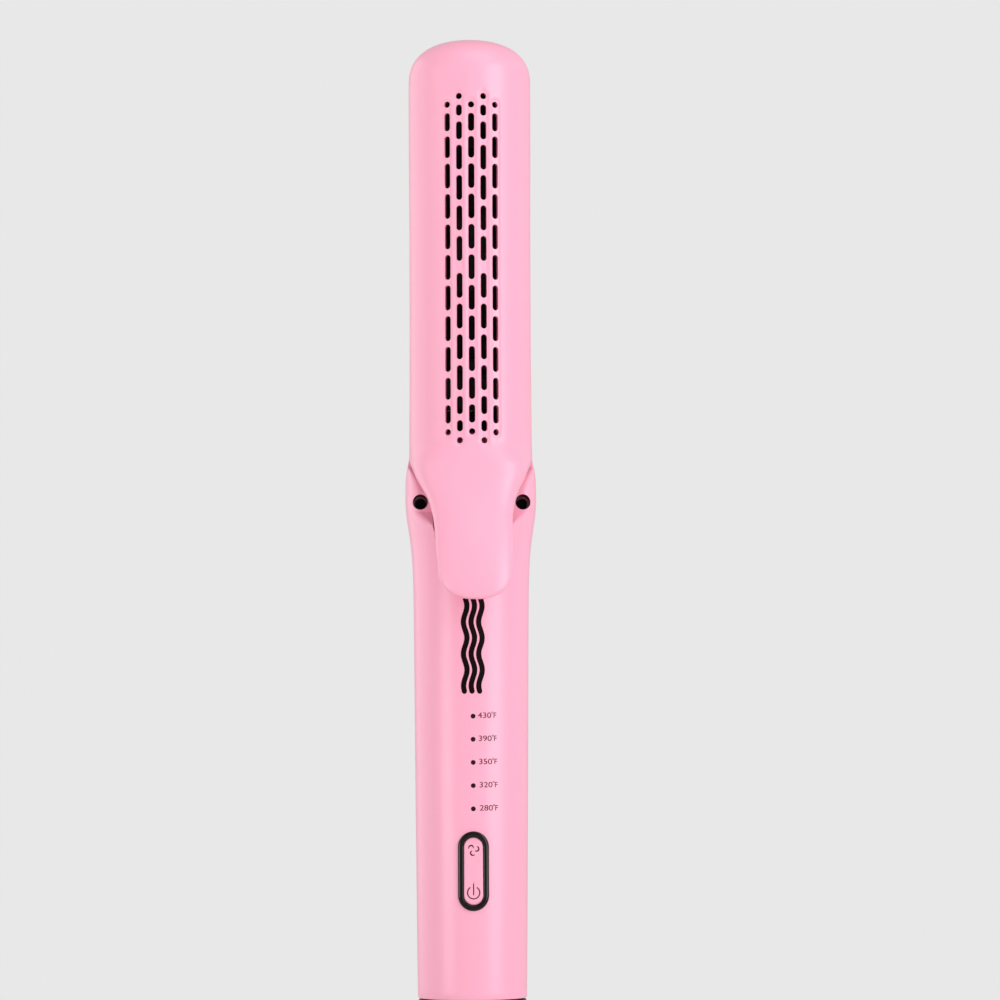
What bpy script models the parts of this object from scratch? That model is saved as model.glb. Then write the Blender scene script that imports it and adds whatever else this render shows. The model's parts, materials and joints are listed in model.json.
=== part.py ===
"""Curling wand: a vented two-jaw hot styler with a thumb lever, fan cooling and a swivel cord.

Frame: +Z runs along the wand towards the tip, the front (lever, buttons) faces -Y, +X is to the
right of somebody who looks at the front. The origin is the middle of the hand grip.
Lengths are in millimetres and turned into metres by MM. Heights are measured from the hinge
axis, except in the rocker, fan and cord parts, which are measured from their own empties.
"""

import math

import bmesh
import bpy
from mathutils import Matrix, Vector

MM = 0.001

# ---------------------------------------------------------------- driving dimensions (mm)
PIVOT_ABOVE_GRIP = 75.0      # hinge axis above the middle of the grip
BARREL_R = 16.05
BARREL_WALL = 1.8
DOME_START, DOME_H = 110.7, 11.3
DOME_POWER = 2.4             # superellipse exponent of the dome; 2 would be an ellipse
DOME_STEPS, INNER_DOME_STEPS = 6, 4
PARTING = 0.25               # half of the gap between the jaws
CRADLE_TOP = 13.0            # top of the handle mouldings
BARREL_BOTTOM = 13.35        # bottom of the rear barrel half
HANDLE_BOTTOM = -128.5
HANDLE_WALL = 1.8
CAVITY_TOP = -16.0           # the handle is hollow below this height
BODY_STEPS = 36              # steps round the large turned parts

BUTTON_Z, BEZEL_W, BEZEL_H = -95.8, 8.0, 20.3
ROCKER_W, ROCKER_H = 5.1, 17.3
BUTTON_GAP = 0.25            # clearance round the bezel and round the rocker
FAN_KEY_Z, POWER_KEY_Z = -90.5, -101.3
LED_TOP, LED_PITCH, LED_COUNT, LED_D = -56.3, 5.91, 5, 1.25
LED_HEIGHTS = [LED_TOP - LED_PITCH * i for i in range(LED_COUNT)]

FAN_Z = -124.0
CAP_BOTTOM = -143.0

SIDES = ((-1, "left"), (1, "right"))

# ---------------------------------------------------------------- scene set-up
for old in list(bpy.data.objects):
    bpy.data.objects.remove(old, do_unlink=True)

PARTS = bpy.data.collections.new("curling_wand")
CUTTERS = bpy.data.collections.new("cutters")
bpy.context.scene.collection.children.link(PARTS)
bpy.context.scene.collection.children.link(CUTTERS)


def empty(name, position, parent=None):
    obj = bpy.data.objects.new(name, None)
    obj.empty_display_size = 0.01
    PARTS.objects.link(obj)
    obj.parent = parent
    obj.location = Vector(position) * MM
    return obj


HANDLE = empty("handle_axis", (0, 0, PIVOT_ABOVE_GRIP))
JAW = empty("jaw_pivot", (0, 0, 0), HANDLE)
FLOAT = empty("float_slide", (0, 0, 0), JAW)
ROCKER = empty("rocker_pivot", (0, -12.6, BUTTON_Z), HANDLE)
FAN = empty("fan_axis", (0, 0, FAN_Z), HANDLE)
CORD = empty("cord_axis", (0, 0, CAP_BOTTOM), HANDLE)


# ---------------------------------------------------------------- materials
def new_material(name, rgb, roughness, metallic=0.0):
    material = bpy.data.materials.new(name)
    material.use_nodes = True
    shader = material.node_tree.nodes["Principled BSDF"]
    shader.inputs["Base Color"].default_value = (*rgb, 1.0)
    shader.inputs["Roughness"].default_value = roughness
    shader.inputs["Metallic"].default_value = metallic
    material.diffuse_color = (*rgb, 1.0)
    return material


PINK = new_material("pink_satin_plastic", rgb=(1.0, 0.45, 0.60), roughness=0.42)
BLACK_GLOSS = new_material("black_gloss_plastic", rgb=(0.012, 0.008, 0.010), roughness=0.08)
BLACK_MATTE = new_material("black_heat_resistant_plastic", rgb=(0.02, 0.02, 0.022), roughness=0.5)
BLACK_CAP = new_material("black_satin_plastic", rgb=(0.015, 0.013, 0.015), roughness=0.3)
TITANIUM = new_material("titanium_plate", rgb=(0.42, 0.38, 0.42), roughness=0.22, metallic=1.0)
STEEL = new_material("steel", rgb=(0.55, 0.55, 0.56), roughness=0.3, metallic=1.0)
CERAMIC = new_material("ceramic_heater", rgb=(0.82, 0.80, 0.74), roughness=0.6)
FR4 = new_material("circuit_board", rgb=(0.02, 0.16, 0.07), roughness=0.4)
SILICONE = new_material("silicone", rgb=(0.75, 0.74, 0.72), roughness=0.6)
RUBBER = new_material("black_rubber", rgb=(0.02, 0.02, 0.02), roughness=0.65)
CLEAR = new_material("light_pipe", rgb=(0.35, 0.08, 0.12), roughness=0.15)
NYLON = new_material("natural_nylon", rgb=(0.80, 0.78, 0.70), roughness=0.5)
BRONZE = new_material("sintered_bronze", rgb=(0.55, 0.36, 0.15), roughness=0.35, metallic=1.0)
FILTER_MESH = new_material("filter_mesh", rgb=(0.05, 0.05, 0.055), roughness=0.8)


# ---------------------------------------------------------------- shapes added to a bmesh
def around(middle, half):
    return (middle - half, middle + half)


def add_box(shape, x, y, z):
    """A box given by its (low, high) span on each axis."""
    made = bmesh.ops.create_cube(shape, size=1.0)["verts"]
    spans = (x, y, z)
    bmesh.ops.scale(shape, vec=[high - low for low, high in spans], verts=made)
    bmesh.ops.translate(shape, vec=[(low + high) / 2 for low, high in spans], verts=made)
    return made


TURN = {
    "X": Matrix.Rotation(math.radians(90), 4, "Y"),
    "Y": Matrix.Rotation(math.radians(-90), 4, "X"),
    "Z": Matrix.Identity(4),
}


def add_cylinder(shape, length, radius, segments):
    return bmesh.ops.create_cone(
        shape, cap_ends=True, segments=segments, radius1=radius, radius2=radius, depth=length
    )["verts"]


def add_rod(shape, axis, middle, length, radius, segments):
    made = add_cylinder(shape, length, radius, segments)
    bmesh.ops.transform(shape, matrix=Matrix.Translation(middle) @ TURN[axis], verts=made)


def add_rods(shape, axis, middles, length, radius, segments):
    for middle in middles:
        add_rod(shape, axis, middle, length, radius, segments)


def add_pill(shape, half_width, half_height, y, segments, z_middle=0.0):
    """A pill-shaped prism along Y: a cylinder pulled apart along Z."""
    made = add_cylinder(shape, y[1] - y[0], half_width, segments)
    spin = Matrix.Rotation(math.pi / segments, 4, "Z")
    bmesh.ops.transform(shape, matrix=TURN["Y"] @ spin, verts=made)
    for vert in made:
        vert.co.z += math.copysign(half_height - half_width, vert.co.z)
        vert.co += Vector((0.0, (y[0] + y[1]) / 2, z_middle))
    return made


def add_slab(shape, outline, x):
    """A flat (y, z) outline, filled and given a thickness along X."""
    flat = shape.faces.new([shape.verts.new((x[0], y, z)) for y, z in outline])
    grown = bmesh.ops.extrude_face_region(shape, geom=[flat])["geom"]
    verts = [item for item in grown if isinstance(item, bmesh.types.BMVert)]
    bmesh.ops.translate(shape, vec=(x[1] - x[0], 0, 0), verts=verts)


# ---------------------------------------------------------------- objects and modifiers
def place(name, data, parent, material=None):
    """Make an object; one without a material is a hidden cutter."""
    obj = bpy.data.objects.new(name, data)
    obj.parent = parent
    if material:
        PARTS.objects.link(obj)
        data.materials.append(material)
    else:
        CUTTERS.objects.link(obj)
        obj.hide_render = True
        obj.display_type = "WIRE"
    return obj


def to_mesh(shape, name, smooth=True):
    bmesh.ops.scale(shape, vec=(MM, MM, MM), verts=shape.verts)
    bmesh.ops.recalc_face_normals(shape, faces=shape.faces)
    mesh = bpy.data.meshes.new(name)
    shape.to_mesh(mesh)
    shape.free()
    if smooth:
        mesh.shade_smooth()
        mesh.set_sharp_from_angle(angle=math.radians(35.0))
    return mesh


def solid(name, parent, material, add, *sizes, smooth=True, **named_sizes):
    """An object whose mesh is built by one of the add_ functions."""
    shape = bmesh.new()
    add(shape, *sizes, **named_sizes)
    return place(name, to_mesh(shape, name, smooth), parent, material)


def cutter(name, parent, add, *sizes, **named_sizes):
    """A hidden operand for a boolean, whether it cuts, joins or intersects."""
    return solid(name, parent, None, add, *sizes, smooth=False, **named_sizes)


def combine(obj, operation, *others):
    for other in others:
        step = obj.modifiers.new(other.name, "BOOLEAN")
        step.operation = operation
        step.solver = "EXACT"
        step.object = other


def bevel(obj, width, segments):
    edge = obj.modifiers.new("edge", "BEVEL")
    edge.width = width * MM
    edge.segments = segments


def turned(name, profile, parent, material, steps=BODY_STEPS, closed=True):
    """A (radius, height) profile turned about Z; an open profile starts and ends on the axis."""
    mesh = bpy.data.meshes.new(name)
    count = len(profile)
    edges = [(i, i + 1) for i in range(count - 1)]
    if closed:
        edges.append((count - 1, 0))
    mesh.from_pydata([(radius * MM, 0, z * MM) for radius, z in profile], edges, [])
    obj = place(name, mesh, parent, material)
    spin = obj.modifiers.new("turn", "SCREW")
    spin.axis = "Z"
    spin.angle = math.tau
    spin.steps = spin.render_steps = steps
    spin.use_merge_vertices = True
    spin.merge_threshold = 0.00001
    spin.use_smooth_shade = True
    return obj


def ring_profile(outer, inner, top, bottom):
    return [(outer, top), (outer, bottom), (inner, bottom), (inner, top)]


def wire(name, path, radius, material):
    """A round wire along the path, on the handle."""
    curve = bpy.data.curves.new(name, "CURVE")
    curve.dimensions = "3D"
    curve.bevel_depth = radius * MM
    curve.bevel_resolution = 1
    curve.use_fill_caps = True
    line = curve.splines.new("POLY")
    line.points.add(len(path) - 1)
    for point, (x, y, z) in zip(line.points, path):
        point.co = (x * MM, y * MM, z * MM, 1.0)
    place(name, curve, HANDLE, material)


# ---------------------------------------------------------------- air vents
VENT_MID, VENT_W, VENT_LONG = 59.7, 1.60, 6.50
VENT_PITCH = 7.92
COLUMN_DEG = 11.75           # angle between neighbouring vent columns
ODD_START = 4.79             # first vent of an odd column, from the pattern's middle
VENT_DEPTH = (-20.0, -11.5)  # y span of a cutter, before it is turned to its column
# end vents: height from the pattern's middle, slot length
EVEN_ENDS = [(31.3, 5.70), (37.85, 4.75), (42.45, VENT_W)]
ODD_ENDS = [(35.57, 4.70), (40.87, 2.90), (44.57, VENT_W)]


def vent_rows():
    """(column, height from the pattern's middle, slot length) for every vent."""
    rows = []
    for column in (-2, 0, 2):
        rows += [(column, VENT_PITCH * i, VENT_LONG) for i in range(-3, 4)]
        for side in (-1, 1):
            rows += [(column, side * z, length) for z, length in EVEN_ENDS]
    for column in (-1, 1):
        for side in (-1, 1):
            rows += [(column, side * (ODD_START + VENT_PITCH * i), VENT_LONG) for i in range(4)]
            rows += [(column, side * z, length) for z, length in ODD_ENDS]
    return rows


def add_vents(shape, facing_deg):
    for column, z, length in vent_rows():
        made = add_pill(shape, VENT_W / 2, length / 2, VENT_DEPTH, segments=6)
        turn = Matrix.Rotation(math.radians(facing_deg + COLUMN_DEG * column), 4, "Z")
        lift = Matrix.Translation((0, 0, VENT_MID + z))
        bmesh.ops.transform(shape, matrix=lift @ turn, verts=made)


front_vents = cutter("front_vent_cutters", JAW, add_vents, facing_deg=0.0)
rear_vents = cutter("rear_vent_cutters", HANDLE, add_vents, facing_deg=180.0)

# ---------------------------------------------------------------- handle shells
# outside of the handle: height, radius
HANDLE_PROFILE = [
    (CRADLE_TOP, 16.03), (9.7, 16.45), (6.5, 16.93), (1.5, 17.12), (-3.4, 16.88), (-7.3, 16.32),
    (-11.3, 15.77), (-17.0, 15.30), (-23.0, 15.08), (-60.0, 14.75), (-100.0, 14.40),
    (HANDLE_BOTTOM, 14.10),
]
CAVITY_HEIGHTS = (HANDLE_BOTTOM, -100.0, -60.0, -23.0, CAVITY_TOP)
SHELL_PARTING = 0.15         # half of the gap between the two shells
FRONT_TOP = 9.6              # top of the front shell
ACROSS = (-30, 30)           # x span of a half space, wider than the wand

EAR_R = 9.0                  # front of each ear, a cylinder about the hinge axis
# rest of the ear cutter's outline, from the foot of the ear's arc round the front: y, z
EAR_SURROUND = [
    (-13.2, -7.5), (-17.3, -9.9), (-22.0, -13.0), (-22.0, 22.0), (1.0, 22.0), (1.0, EAR_R),
]
POCKET_X = 10.1              # half width of the pocket behind the lever
# side view of the lever pocket: y, z
POCKET_OUTLINE = [
    (-6.5, -2.5), (-7.5, -6.0), (-12.2, -8.0), (-13.6, -9.6), (-22.0, -12.0), (-22.0, 1.0),
    (-6.5, 1.0),
]
SLOT_X = around(0, 9.4)      # slot between the ears
WELL_X, WELL_Z, WELL_R = 13.2, -0.9, 1.75
SCREW_HOLE_R = 1.35
PIN_R, PIN_LENGTH = 2.0, 2 * 11.1


def handle_radius(z):
    for (z_top, r_top), (z_low, r_low) in zip(HANDLE_PROFILE, HANDLE_PROFILE[1:]):
        if z_low <= z <= z_top:
            return r_low + (r_top - r_low) * (z - z_low) / (z_top - z_low)
    raise ValueError(f"height {z} is outside the handle")


def ear_outline():
    """(y, z) points: an arc about the hinge axis from straight up to below the front."""
    start_deg, end_deg, count = 90.0, 201.0, 9
    points = []
    for i in range(count + 1):
        angle = math.radians(start_deg + (end_deg - start_deg) * i / count)
        points.append((EAR_R * math.cos(angle), EAR_R * math.sin(angle)))
    return points + EAR_SURROUND


def add_front_openings(shape):
    """The bezel's opening and one hole for each light-pipe post."""
    add_pill(shape, BEZEL_W / 2 + BUTTON_GAP, BEZEL_H / 2 + BUTTON_GAP, (-20.0, -8.0),
             segments=20, z_middle=BUTTON_Z)
    add_rods(shape, "Y", [(0, -15.0, z) for z in LED_HEIGHTS],
             length=8.0, radius=LED_D / 2 + 0.15, segments=8)


def well_pair(y):
    return [(side * WELL_X, y, WELL_Z) for side, _ in SIDES]


handle_profile = (
    [(0.0, CRADLE_TOP)]
    + [(radius, z) for z, radius in HANDLE_PROFILE]
    + [(handle_radius(z) - HANDLE_WALL, z) for z in CAVITY_HEIGHTS]
    + [(0.0, CAVITY_TOP)]
)
front_half = cutter("front_half_space", HANDLE, add_box,
                    ACROSS, (-40, -SHELL_PARTING), (-150, FRONT_TOP))
rear_half = cutter("rear_half_space", HANDLE, add_box, ACROSS, (SHELL_PARTING, 40), (-150, 30))
ear_cut = cutter("ear_front_cutter", HANDLE, add_slab, ear_outline(), (-25, 25))
pocket_cut = cutter("lever_pocket_cutter", HANDLE, add_slab, POCKET_OUTLINE, around(0, POCKET_X))
slot_front = cutter("slot_front_cutter", HANDLE, add_box, SLOT_X, (-30, 5), (-10.5, 20))
slot_rear = cutter("slot_rear_cutter", HANDLE, add_box, SLOT_X, (-5, 11.0), (-17.5, 20))
wells = cutter("screw_well_cutters", HANDLE, add_rods, "Y", well_pair(-13.35),
               length=23.3, radius=WELL_R, segments=20)
screw_holes = cutter("screw_hole_cutters", HANDLE, add_rods, "Y", well_pair(0.0),
                     length=17.4, radius=SCREW_HOLE_R, segments=10)
pin_bore = cutter("pin_bore_cutter", HANDLE, add_rod, "X", (0, 0, 0),
                  length=PIN_LENGTH + 0.4, radius=PIN_R + 0.2, segments=20)
front_openings = cutter("front_opening_cutters", HANDLE, add_front_openings)

front_shell = turned("handle_front_shell", handle_profile, HANDLE, PINK, closed=False)
combine(front_shell, "INTERSECT", front_half)
combine(front_shell, "DIFFERENCE",
        ear_cut, pocket_cut, slot_front, wells, screw_holes, pin_bore, front_openings)

rear_shell = turned("handle_rear_shell", handle_profile, HANDLE, PINK, closed=False)
combine(rear_shell, "INTERSECT", rear_half)
combine(rear_shell, "DIFFERENCE", slot_rear, screw_holes, pin_bore)


# ---------------------------------------------------------------- rear barrel half
def dome_rings(radius, height, count):
    """(radius, height) points up to, but without, the tip; they crowd where it curves most."""
    rings = []
    for i in range(1, count):
        z = DOME_START + height * math.sin(math.radians(90.0 * i / count))
        rise = (z - DOME_START) / height
        rings.append((radius * (1.0 - rise**DOME_POWER) ** (1.0 / DOME_POWER), z))
    return rings


DOME_TIP = DOME_START + DOME_H
BOTTOM_FLARE = 0.1           # extra radius at the bottom of the barrel
inner_radius = BARREL_R - BARREL_WALL
inner_dome_height = DOME_H - BARREL_WALL
outer_dome = dome_rings(BARREL_R, DOME_H, DOME_STEPS)

barrel_profile = (
    [(0.0, DOME_TIP)]
    + outer_dome[::-1]
    + [(BARREL_R, DOME_START), (BARREL_R + BOTTOM_FLARE, BARREL_BOTTOM)]
    + [(inner_radius + BOTTOM_FLARE, BARREL_BOTTOM), (inner_radius, DOME_START)]
    + dome_rings(inner_radius, inner_dome_height, INNER_DOME_STEPS)
    + [(0.0, DOME_TIP - BARREL_WALL)]
)
barrel_half = cutter("barrel_half_space", HANDLE, add_box, ACROSS, (PARTING, 40), (0, 150))
rear_barrel = turned("barrel_rear_shell", barrel_profile, HANDLE, PINK, closed=False)
combine(rear_barrel, "INTERSECT", barrel_half)
combine(rear_barrel, "DIFFERENCE", rear_vents)

# ---------------------------------------------------------------- jaw: vented half, neck, lever
# neck and lever: height, half width, front, depth of the side edges, squareness
JAW_STATIONS = [
    (14.4, 16.08, 16.10, PARTING, 2.0), (11.5, 16.10, 16.60, PARTING, 2.8),
    (9.9, 15.75, 16.95, 3.2, 3.4), (8.2, 15.10, 17.30, 5.6, 3.8), (5.2, 13.80, 18.00, 8.7, 4.0),
    (1.65, 11.95, 19.00, 11.5, 4.0), (-1.45, 10.95, 20.05, 13.6, 4.0),
    (-5.9, 10.05, 21.80, 17.2, 3.6), (-8.9, 9.70, 23.00, 19.5, 3.2),
    (-14.2, 9.50, 25.00, 22.4, 2.8), (-20.4, 9.10, 26.90, 24.8, 2.6),
    (-23.2, 8.30, 27.40, 25.5, 2.4), (-25.3, 6.40, 27.75, 26.1, 2.3),
    (-26.5, 4.20, 27.90, 26.5, 2.2), (-26.95, 2.40, 27.95, 26.8, 2.0),
]
JAW_COLUMNS = 20             # faces across the jaw
KNUCKLE_X = (5.6, 8.6)       # inner and outer side of a knuckle
KNUCKLE_R, BUSH_BORE_R = 5.5, 3.2
# side view of the web that joins a knuckle to the jaw: y, z
WEB_OUTLINE = [
    (1.0, 4.0), (-3.0, 9.0), (-8.0, 12.6), (-14.7, 12.6), (-16.1, 8.0), (-17.7, 1.0),
    (-18.9, -2.5), (-8.0, -3.6), (0.0, -4.0),
]


def jaw_section(half_width, front, edge, square):
    """Points (x, y) on a superellipse, from the left edge round the front to the right edge."""
    points = []
    for i in range(JAW_COLUMNS + 1):
        angle = math.radians(-90.0 + 180.0 * i / JAW_COLUMNS)
        sine, cosine = math.sin(angle), max(0.0, math.cos(angle))
        reach = (abs(sine) ** square + cosine**square) ** (-1.0 / square)
        points.append((half_width * reach * sine, -(edge + (front - edge) * reach * cosine)))
    return points


def add_jaw_skin(shape):
    """The jaw's outer skin, lofted from the half-round barrel down to the rounded lever."""
    barrel = outer_dome[::-1] + [(BARREL_R, DOME_START)]
    stations = [(z, radius, radius, PARTING, 2.0) for radius, z in barrel] + JAW_STATIONS
    rings = [
        [shape.verts.new((x, y, z)) for x, y in jaw_section(*section)]
        for z, *section in stations
    ]
    for upper, lower in zip(rings, rings[1:]):
        for i in range(JAW_COLUMNS):
            shape.faces.new((upper[i], upper[i + 1], lower[i + 1], lower[i]))
    tip = shape.verts.new((0.0, -PARTING, DOME_TIP))
    for i in range(JAW_COLUMNS):
        shape.faces.new((tip, rings[0][i + 1], rings[0][i]))
    shape.faces.new(rings[-1])


jaw = solid("clamp_shell", JAW, PINK, add_jaw_skin)
# The skin is open, so its normals may come out either way; the wall needs them facing out.
if jaw.data.polygons[0].normal.y > 0:
    jaw.data.flip_normals()
wall = jaw.modifiers.new("wall", "SOLIDIFY")
wall.thickness = BARREL_WALL * MM
wall.offset = -1.0
wall.use_even_offset = False

for side, tag in SIDES:
    x_low, x_high = sorted(side * x for x in KNUCKLE_X)
    web = cutter("jaw_web_" + tag, JAW, add_slab, WEB_OUTLINE, (x_low, x_high))
    knuckle = cutter("jaw_knuckle_" + tag, JAW, add_rod, "X", ((x_low + x_high) / 2, 0, 0),
                     length=x_high - x_low, radius=KNUCKLE_R, segments=20)
    combine(web, "UNION", knuckle)
    combine(jaw, "UNION", web)
bush_bore = cutter("bush_bore_cutter", JAW, add_rod, "X", (0, 0, 0),
                   length=24, radius=BUSH_BORE_R, segments=20)
combine(jaw, "DIFFERENCE", bush_bore, front_vents)

# ---------------------------------------------------------------- plate frames, plates, heaters
PLATE_Z, PLATE_X = (24.0, 106.0), 10.8
FRAME_Z, FRAME_X = (18.5, 111.5), 13.5
PLATE_GAP = 0.35             # clearance between a plate and its frame
FRAME_SCREW_INSET = 2.4      # from the ends of the frame
FRAME_SCREWS = (
    ("lower", FRAME_Z[0] + FRAME_SCREW_INSET),
    ("upper", FRAME_Z[1] - FRAME_SCREW_INSET),
)
HEATER_X, HEATER_Z = 5.5, (34, 96)
# distances from the parting plane, near and far face
FRAME_DEPTH, PLATE_DEPTH, HEATER_DEPTH = (0.55, 2.3), (0.15, 1.95), (2.3, 4.6)

window = cutter("plate_window_cutter", HANDLE, add_box, around(0, PLATE_X + PLATE_GAP), (-9, 9),
                (PLATE_Z[0] - PLATE_GAP, PLATE_Z[1] + PLATE_GAP))


def span_on(side, depth):
    """The (low, high) y span of a near and far depth on the rear (1) or front (-1) side."""
    return sorted(side * y for y in depth)


def plate_frame(tag, side, parent):
    name = tag + "_plate_frame"
    frame = solid(name, parent, BLACK_MATTE, add_box,
                  around(0, FRAME_X), span_on(side, FRAME_DEPTH), FRAME_Z)
    holes = cutter(name + "_holes", parent, add_rods, "Y", [(0, 0, z) for _, z in FRAME_SCREWS],
                   length=9.0, radius=1.15, segments=10)
    combine(frame, "DIFFERENCE", window, holes)
    for end, z in FRAME_SCREWS:
        seat = cutter(f"{tag}_frame_screw_{end}_seat", parent, add_rod, "Y", (0, 0, z),
                      length=3.3, radius=2.2, segments=12)
        combine(frame, "DIFFERENCE", seat)


def frame_screw(name, side, parent, z):
    head = solid(name, parent, STEEL, add_rod, "Y", (0, side * 0.95, z),
                 length=0.8, radius=1.9, segments=10)
    shank = cutter(name + "_shank", parent, add_rod, "Y", (0, side * 3.2, z),
                   length=4.6, radius=0.9, segments=10)
    combine(head, "UNION", shank)


def heating_plate(tag, side, parent):
    plate = solid(tag + "_heating_plate", parent, TITANIUM, add_box,
                  around(0, PLATE_X), span_on(side, PLATE_DEPTH), PLATE_Z)
    bevel(plate, width=0.5, segments=2)


def heater(tag, side, parent):
    block = solid(tag + "_heater", parent, CERAMIC, add_box,
                  around(0, HEATER_X), span_on(side, HEATER_DEPTH), HEATER_Z)
    bevel(block, width=0.3, segments=1)


# The clamp's plate and heater float in its frame; the rear ones are fixed.
for tag, side, frame_parent, plate_parent in (
    ("rear", 1, HANDLE, HANDLE),
    ("clamp", -1, JAW, FLOAT),
):
    plate_frame(tag, side, frame_parent)
    for end, z in FRAME_SCREWS:
        frame_screw(f"{tag}_frame_screw_{end}", side, frame_parent, z)
    heating_plate(tag, side, plate_parent)
    heater(tag, side, plate_parent)

solid("rear_thermistor", HANDLE, SILICONE, add_rod, "Z", (0, 6.1, 60),
      length=6.0, radius=1.1, segments=10)
solid("clamp_thermistor", FLOAT, SILICONE, add_rod, "Z", (8.0, -3.4, 60),
      length=6.0, radius=1.1, segments=10)
solid("thermal_fuse", HANDLE, STEEL, add_rod, "Z", (0, 6.6, 84),
      length=10.0, radius=1.6, segments=12)


def leaf_spring(name, z_middle):
    """An arched strip between the jaw and the floating heater."""
    half_length, rise, thickness, count = 9.0, 2.4, 0.4, 8
    near = [
        (
            -5.0 - rise * math.cos(math.pi * (i / count - 0.5)),
            z_middle - half_length + 2 * half_length * i / count,
        )
        for i in range(count + 1)
    ]
    far = [(y - thickness, z) for y, z in reversed(near)]
    solid(name, JAW, STEEL, add_slab, near + far, (-2.5, 2.5), smooth=False)


leaf_spring("float_spring_lower", 46.0)
leaf_spring("float_spring_upper", 84.0)

# ---------------------------------------------------------------- hinge
BUSH_MIDDLE_X = 7.2
# flanged bush, its flange at the top: radius, height
BUSH_PROFILE = [(4.6, 1.95), (4.6, 1.6), (3.0, 1.6), (3.0, -1.6), (2.2, -1.6), (2.2, 1.95)]
COIL_TURNS, COIL_POINTS = 4, 12      # turns, and points in each turn
COIL_R, COIL_HALF, WIRE_R = 3.3, 3.4, 0.5


def coil_path():
    """A coil about the hinge axis with a rearward leg at the left and a forward one at the right."""
    count = COIL_TURNS * COIL_POINTS
    path = [(-COIL_HALF, 10.5, COIL_R)]
    for i in range(count + 1):
        angle = math.tau * i / COIL_POINTS
        x = -COIL_HALF + 2 * COIL_HALF * i / count
        path.append((x, COIL_R * math.sin(angle), COIL_R * math.cos(angle)))
    path.append((COIL_HALF, -10.0, COIL_R + 1.2))
    return path


solid("hinge_pin", HANDLE, STEEL, add_rod, "X", (0, 0, 0),
      length=PIN_LENGTH, radius=PIN_R, segments=20)
for side, tag in SIDES:
    bush = turned("hinge_bush_" + tag, BUSH_PROFILE, JAW, BRONZE, steps=20)
    # The profile turns about Z, so the bush is laid along X with its flange next to the ear.
    bush.rotation_euler = (0.0, math.radians(90.0 * side), 0.0)
    bush.location = (side * BUSH_MIDDLE_X * MM, 0.0, 0.0)

wire("clamp_spring", coil_path(), WIRE_R, STEEL)

for side, tag in SIDES:
    screw = solid("hinge_screw_" + tag, HANDLE, STEEL, add_rod, "Y",
                  (side * WELL_X, -2.6, WELL_Z), length=1.2, radius=1.45, segments=14)
    shank = cutter("hinge_screw_shank_" + tag, HANDLE, add_rod, "Y",
                   (side * WELL_X, 2.6, WELL_Z), length=11.4, radius=1.05, segments=10)
    combine(screw, "UNION", shank)

# ---------------------------------------------------------------- electronics
BOARD_X, BOARD_Y, BOARD_Z = 7.6, (-9.2, -8.0), (-109.5, -49.5)
BOARD_SCREW_INSET = 2.5      # from the ends of the board
SWITCH_HALF = 2.6
PIPE_HALF_W, PIPE_OVERHANG = 1.4, 2

solid("main_circuit_board", HANDLE, FR4, add_box, around(0, BOARD_X), BOARD_Y, BOARD_Z)
for name, z in (("fan_switch", FAN_KEY_Z), ("power_switch", POWER_KEY_Z)):
    switch = solid(name, HANDLE, BLACK_MATTE, add_box,
                   around(0, SWITCH_HALF), (-10.9, -9.5), around(z, SWITCH_HALF))
    plunger = cutter(name + "_plunger", HANDLE, add_rod, "Y", (0, -11.0, z),
                     length=1.0, radius=1.3, segments=12)
    combine(switch, "UNION", plunger)
for end, z in (
    ("upper", BOARD_Z[1] - BOARD_SCREW_INSET),
    ("lower", BOARD_Z[0] + BOARD_SCREW_INSET),
):
    solid("board_screw_" + end, HANDLE, STEEL, add_rod, "Y", (5.0, -9.95, z),
          length=0.9, radius=1.5, segments=12)

light_pipe = solid("indicator_light_pipe", HANDLE, CLEAR, add_box,
                   around(0, PIPE_HALF_W), (-11.2, -10.0),
                   (LED_HEIGHTS[-1] - PIPE_OVERHANG, LED_TOP + PIPE_OVERHANG))
posts = cutter("light_pipe_posts", HANDLE, add_rods, "Y", [(0, -12.6, z) for z in LED_HEIGHTS],
               length=4.2, radius=LED_D / 2, segments=8)
combine(light_pipe, "UNION", posts)

# ---------------------------------------------------------------- buttons
bezel = solid("button_bezel", HANDLE, BLACK_GLOSS, add_pill, BEZEL_W / 2, BEZEL_H / 2,
              (-14.75, -12.0), segments=32, z_middle=BUTTON_Z)
bevel(bezel, width=0.5, segments=2)
bezel_hole = cutter("bezel_hole_cutter", HANDLE, add_pill, ROCKER_W / 2 + BUTTON_GAP,
                    ROCKER_H / 2 + BUTTON_GAP, (-20.0, -8.0), segments=24, z_middle=BUTTON_Z)
combine(bezel, "DIFFERENCE", bezel_hole)

rocker = solid("button_rocker", ROCKER, PINK, add_pill, ROCKER_W / 2, ROCKER_H / 2,
               (-1.95, 0.35), segments=24)
bevel(rocker, width=0.35, segments=1)
for end, z in (("upper", FAN_KEY_Z - BUTTON_Z), ("lower", POWER_KEY_Z - BUTTON_Z)):
    leg = cutter("rocker_leg_" + end, ROCKER, add_rod, "Y", (0, 0.3, z),
                 length=1.0, radius=1.2, segments=12)
    combine(rocker, "UNION", leg)

# ---------------------------------------------------------------- fan and air path
ARM_COUNT, BLADE_COUNT = 3, 5
BLADE_PITCH_DEG = 38
HUB_Z = 0.6                  # middle of the impeller above the fan's empty
# tapered tube: radius, height
DUCT_PROFILE = [(12.9, -19.0), (12.4, -46.0), (11.4, -46.0), (11.9, -19.0)]


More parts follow.
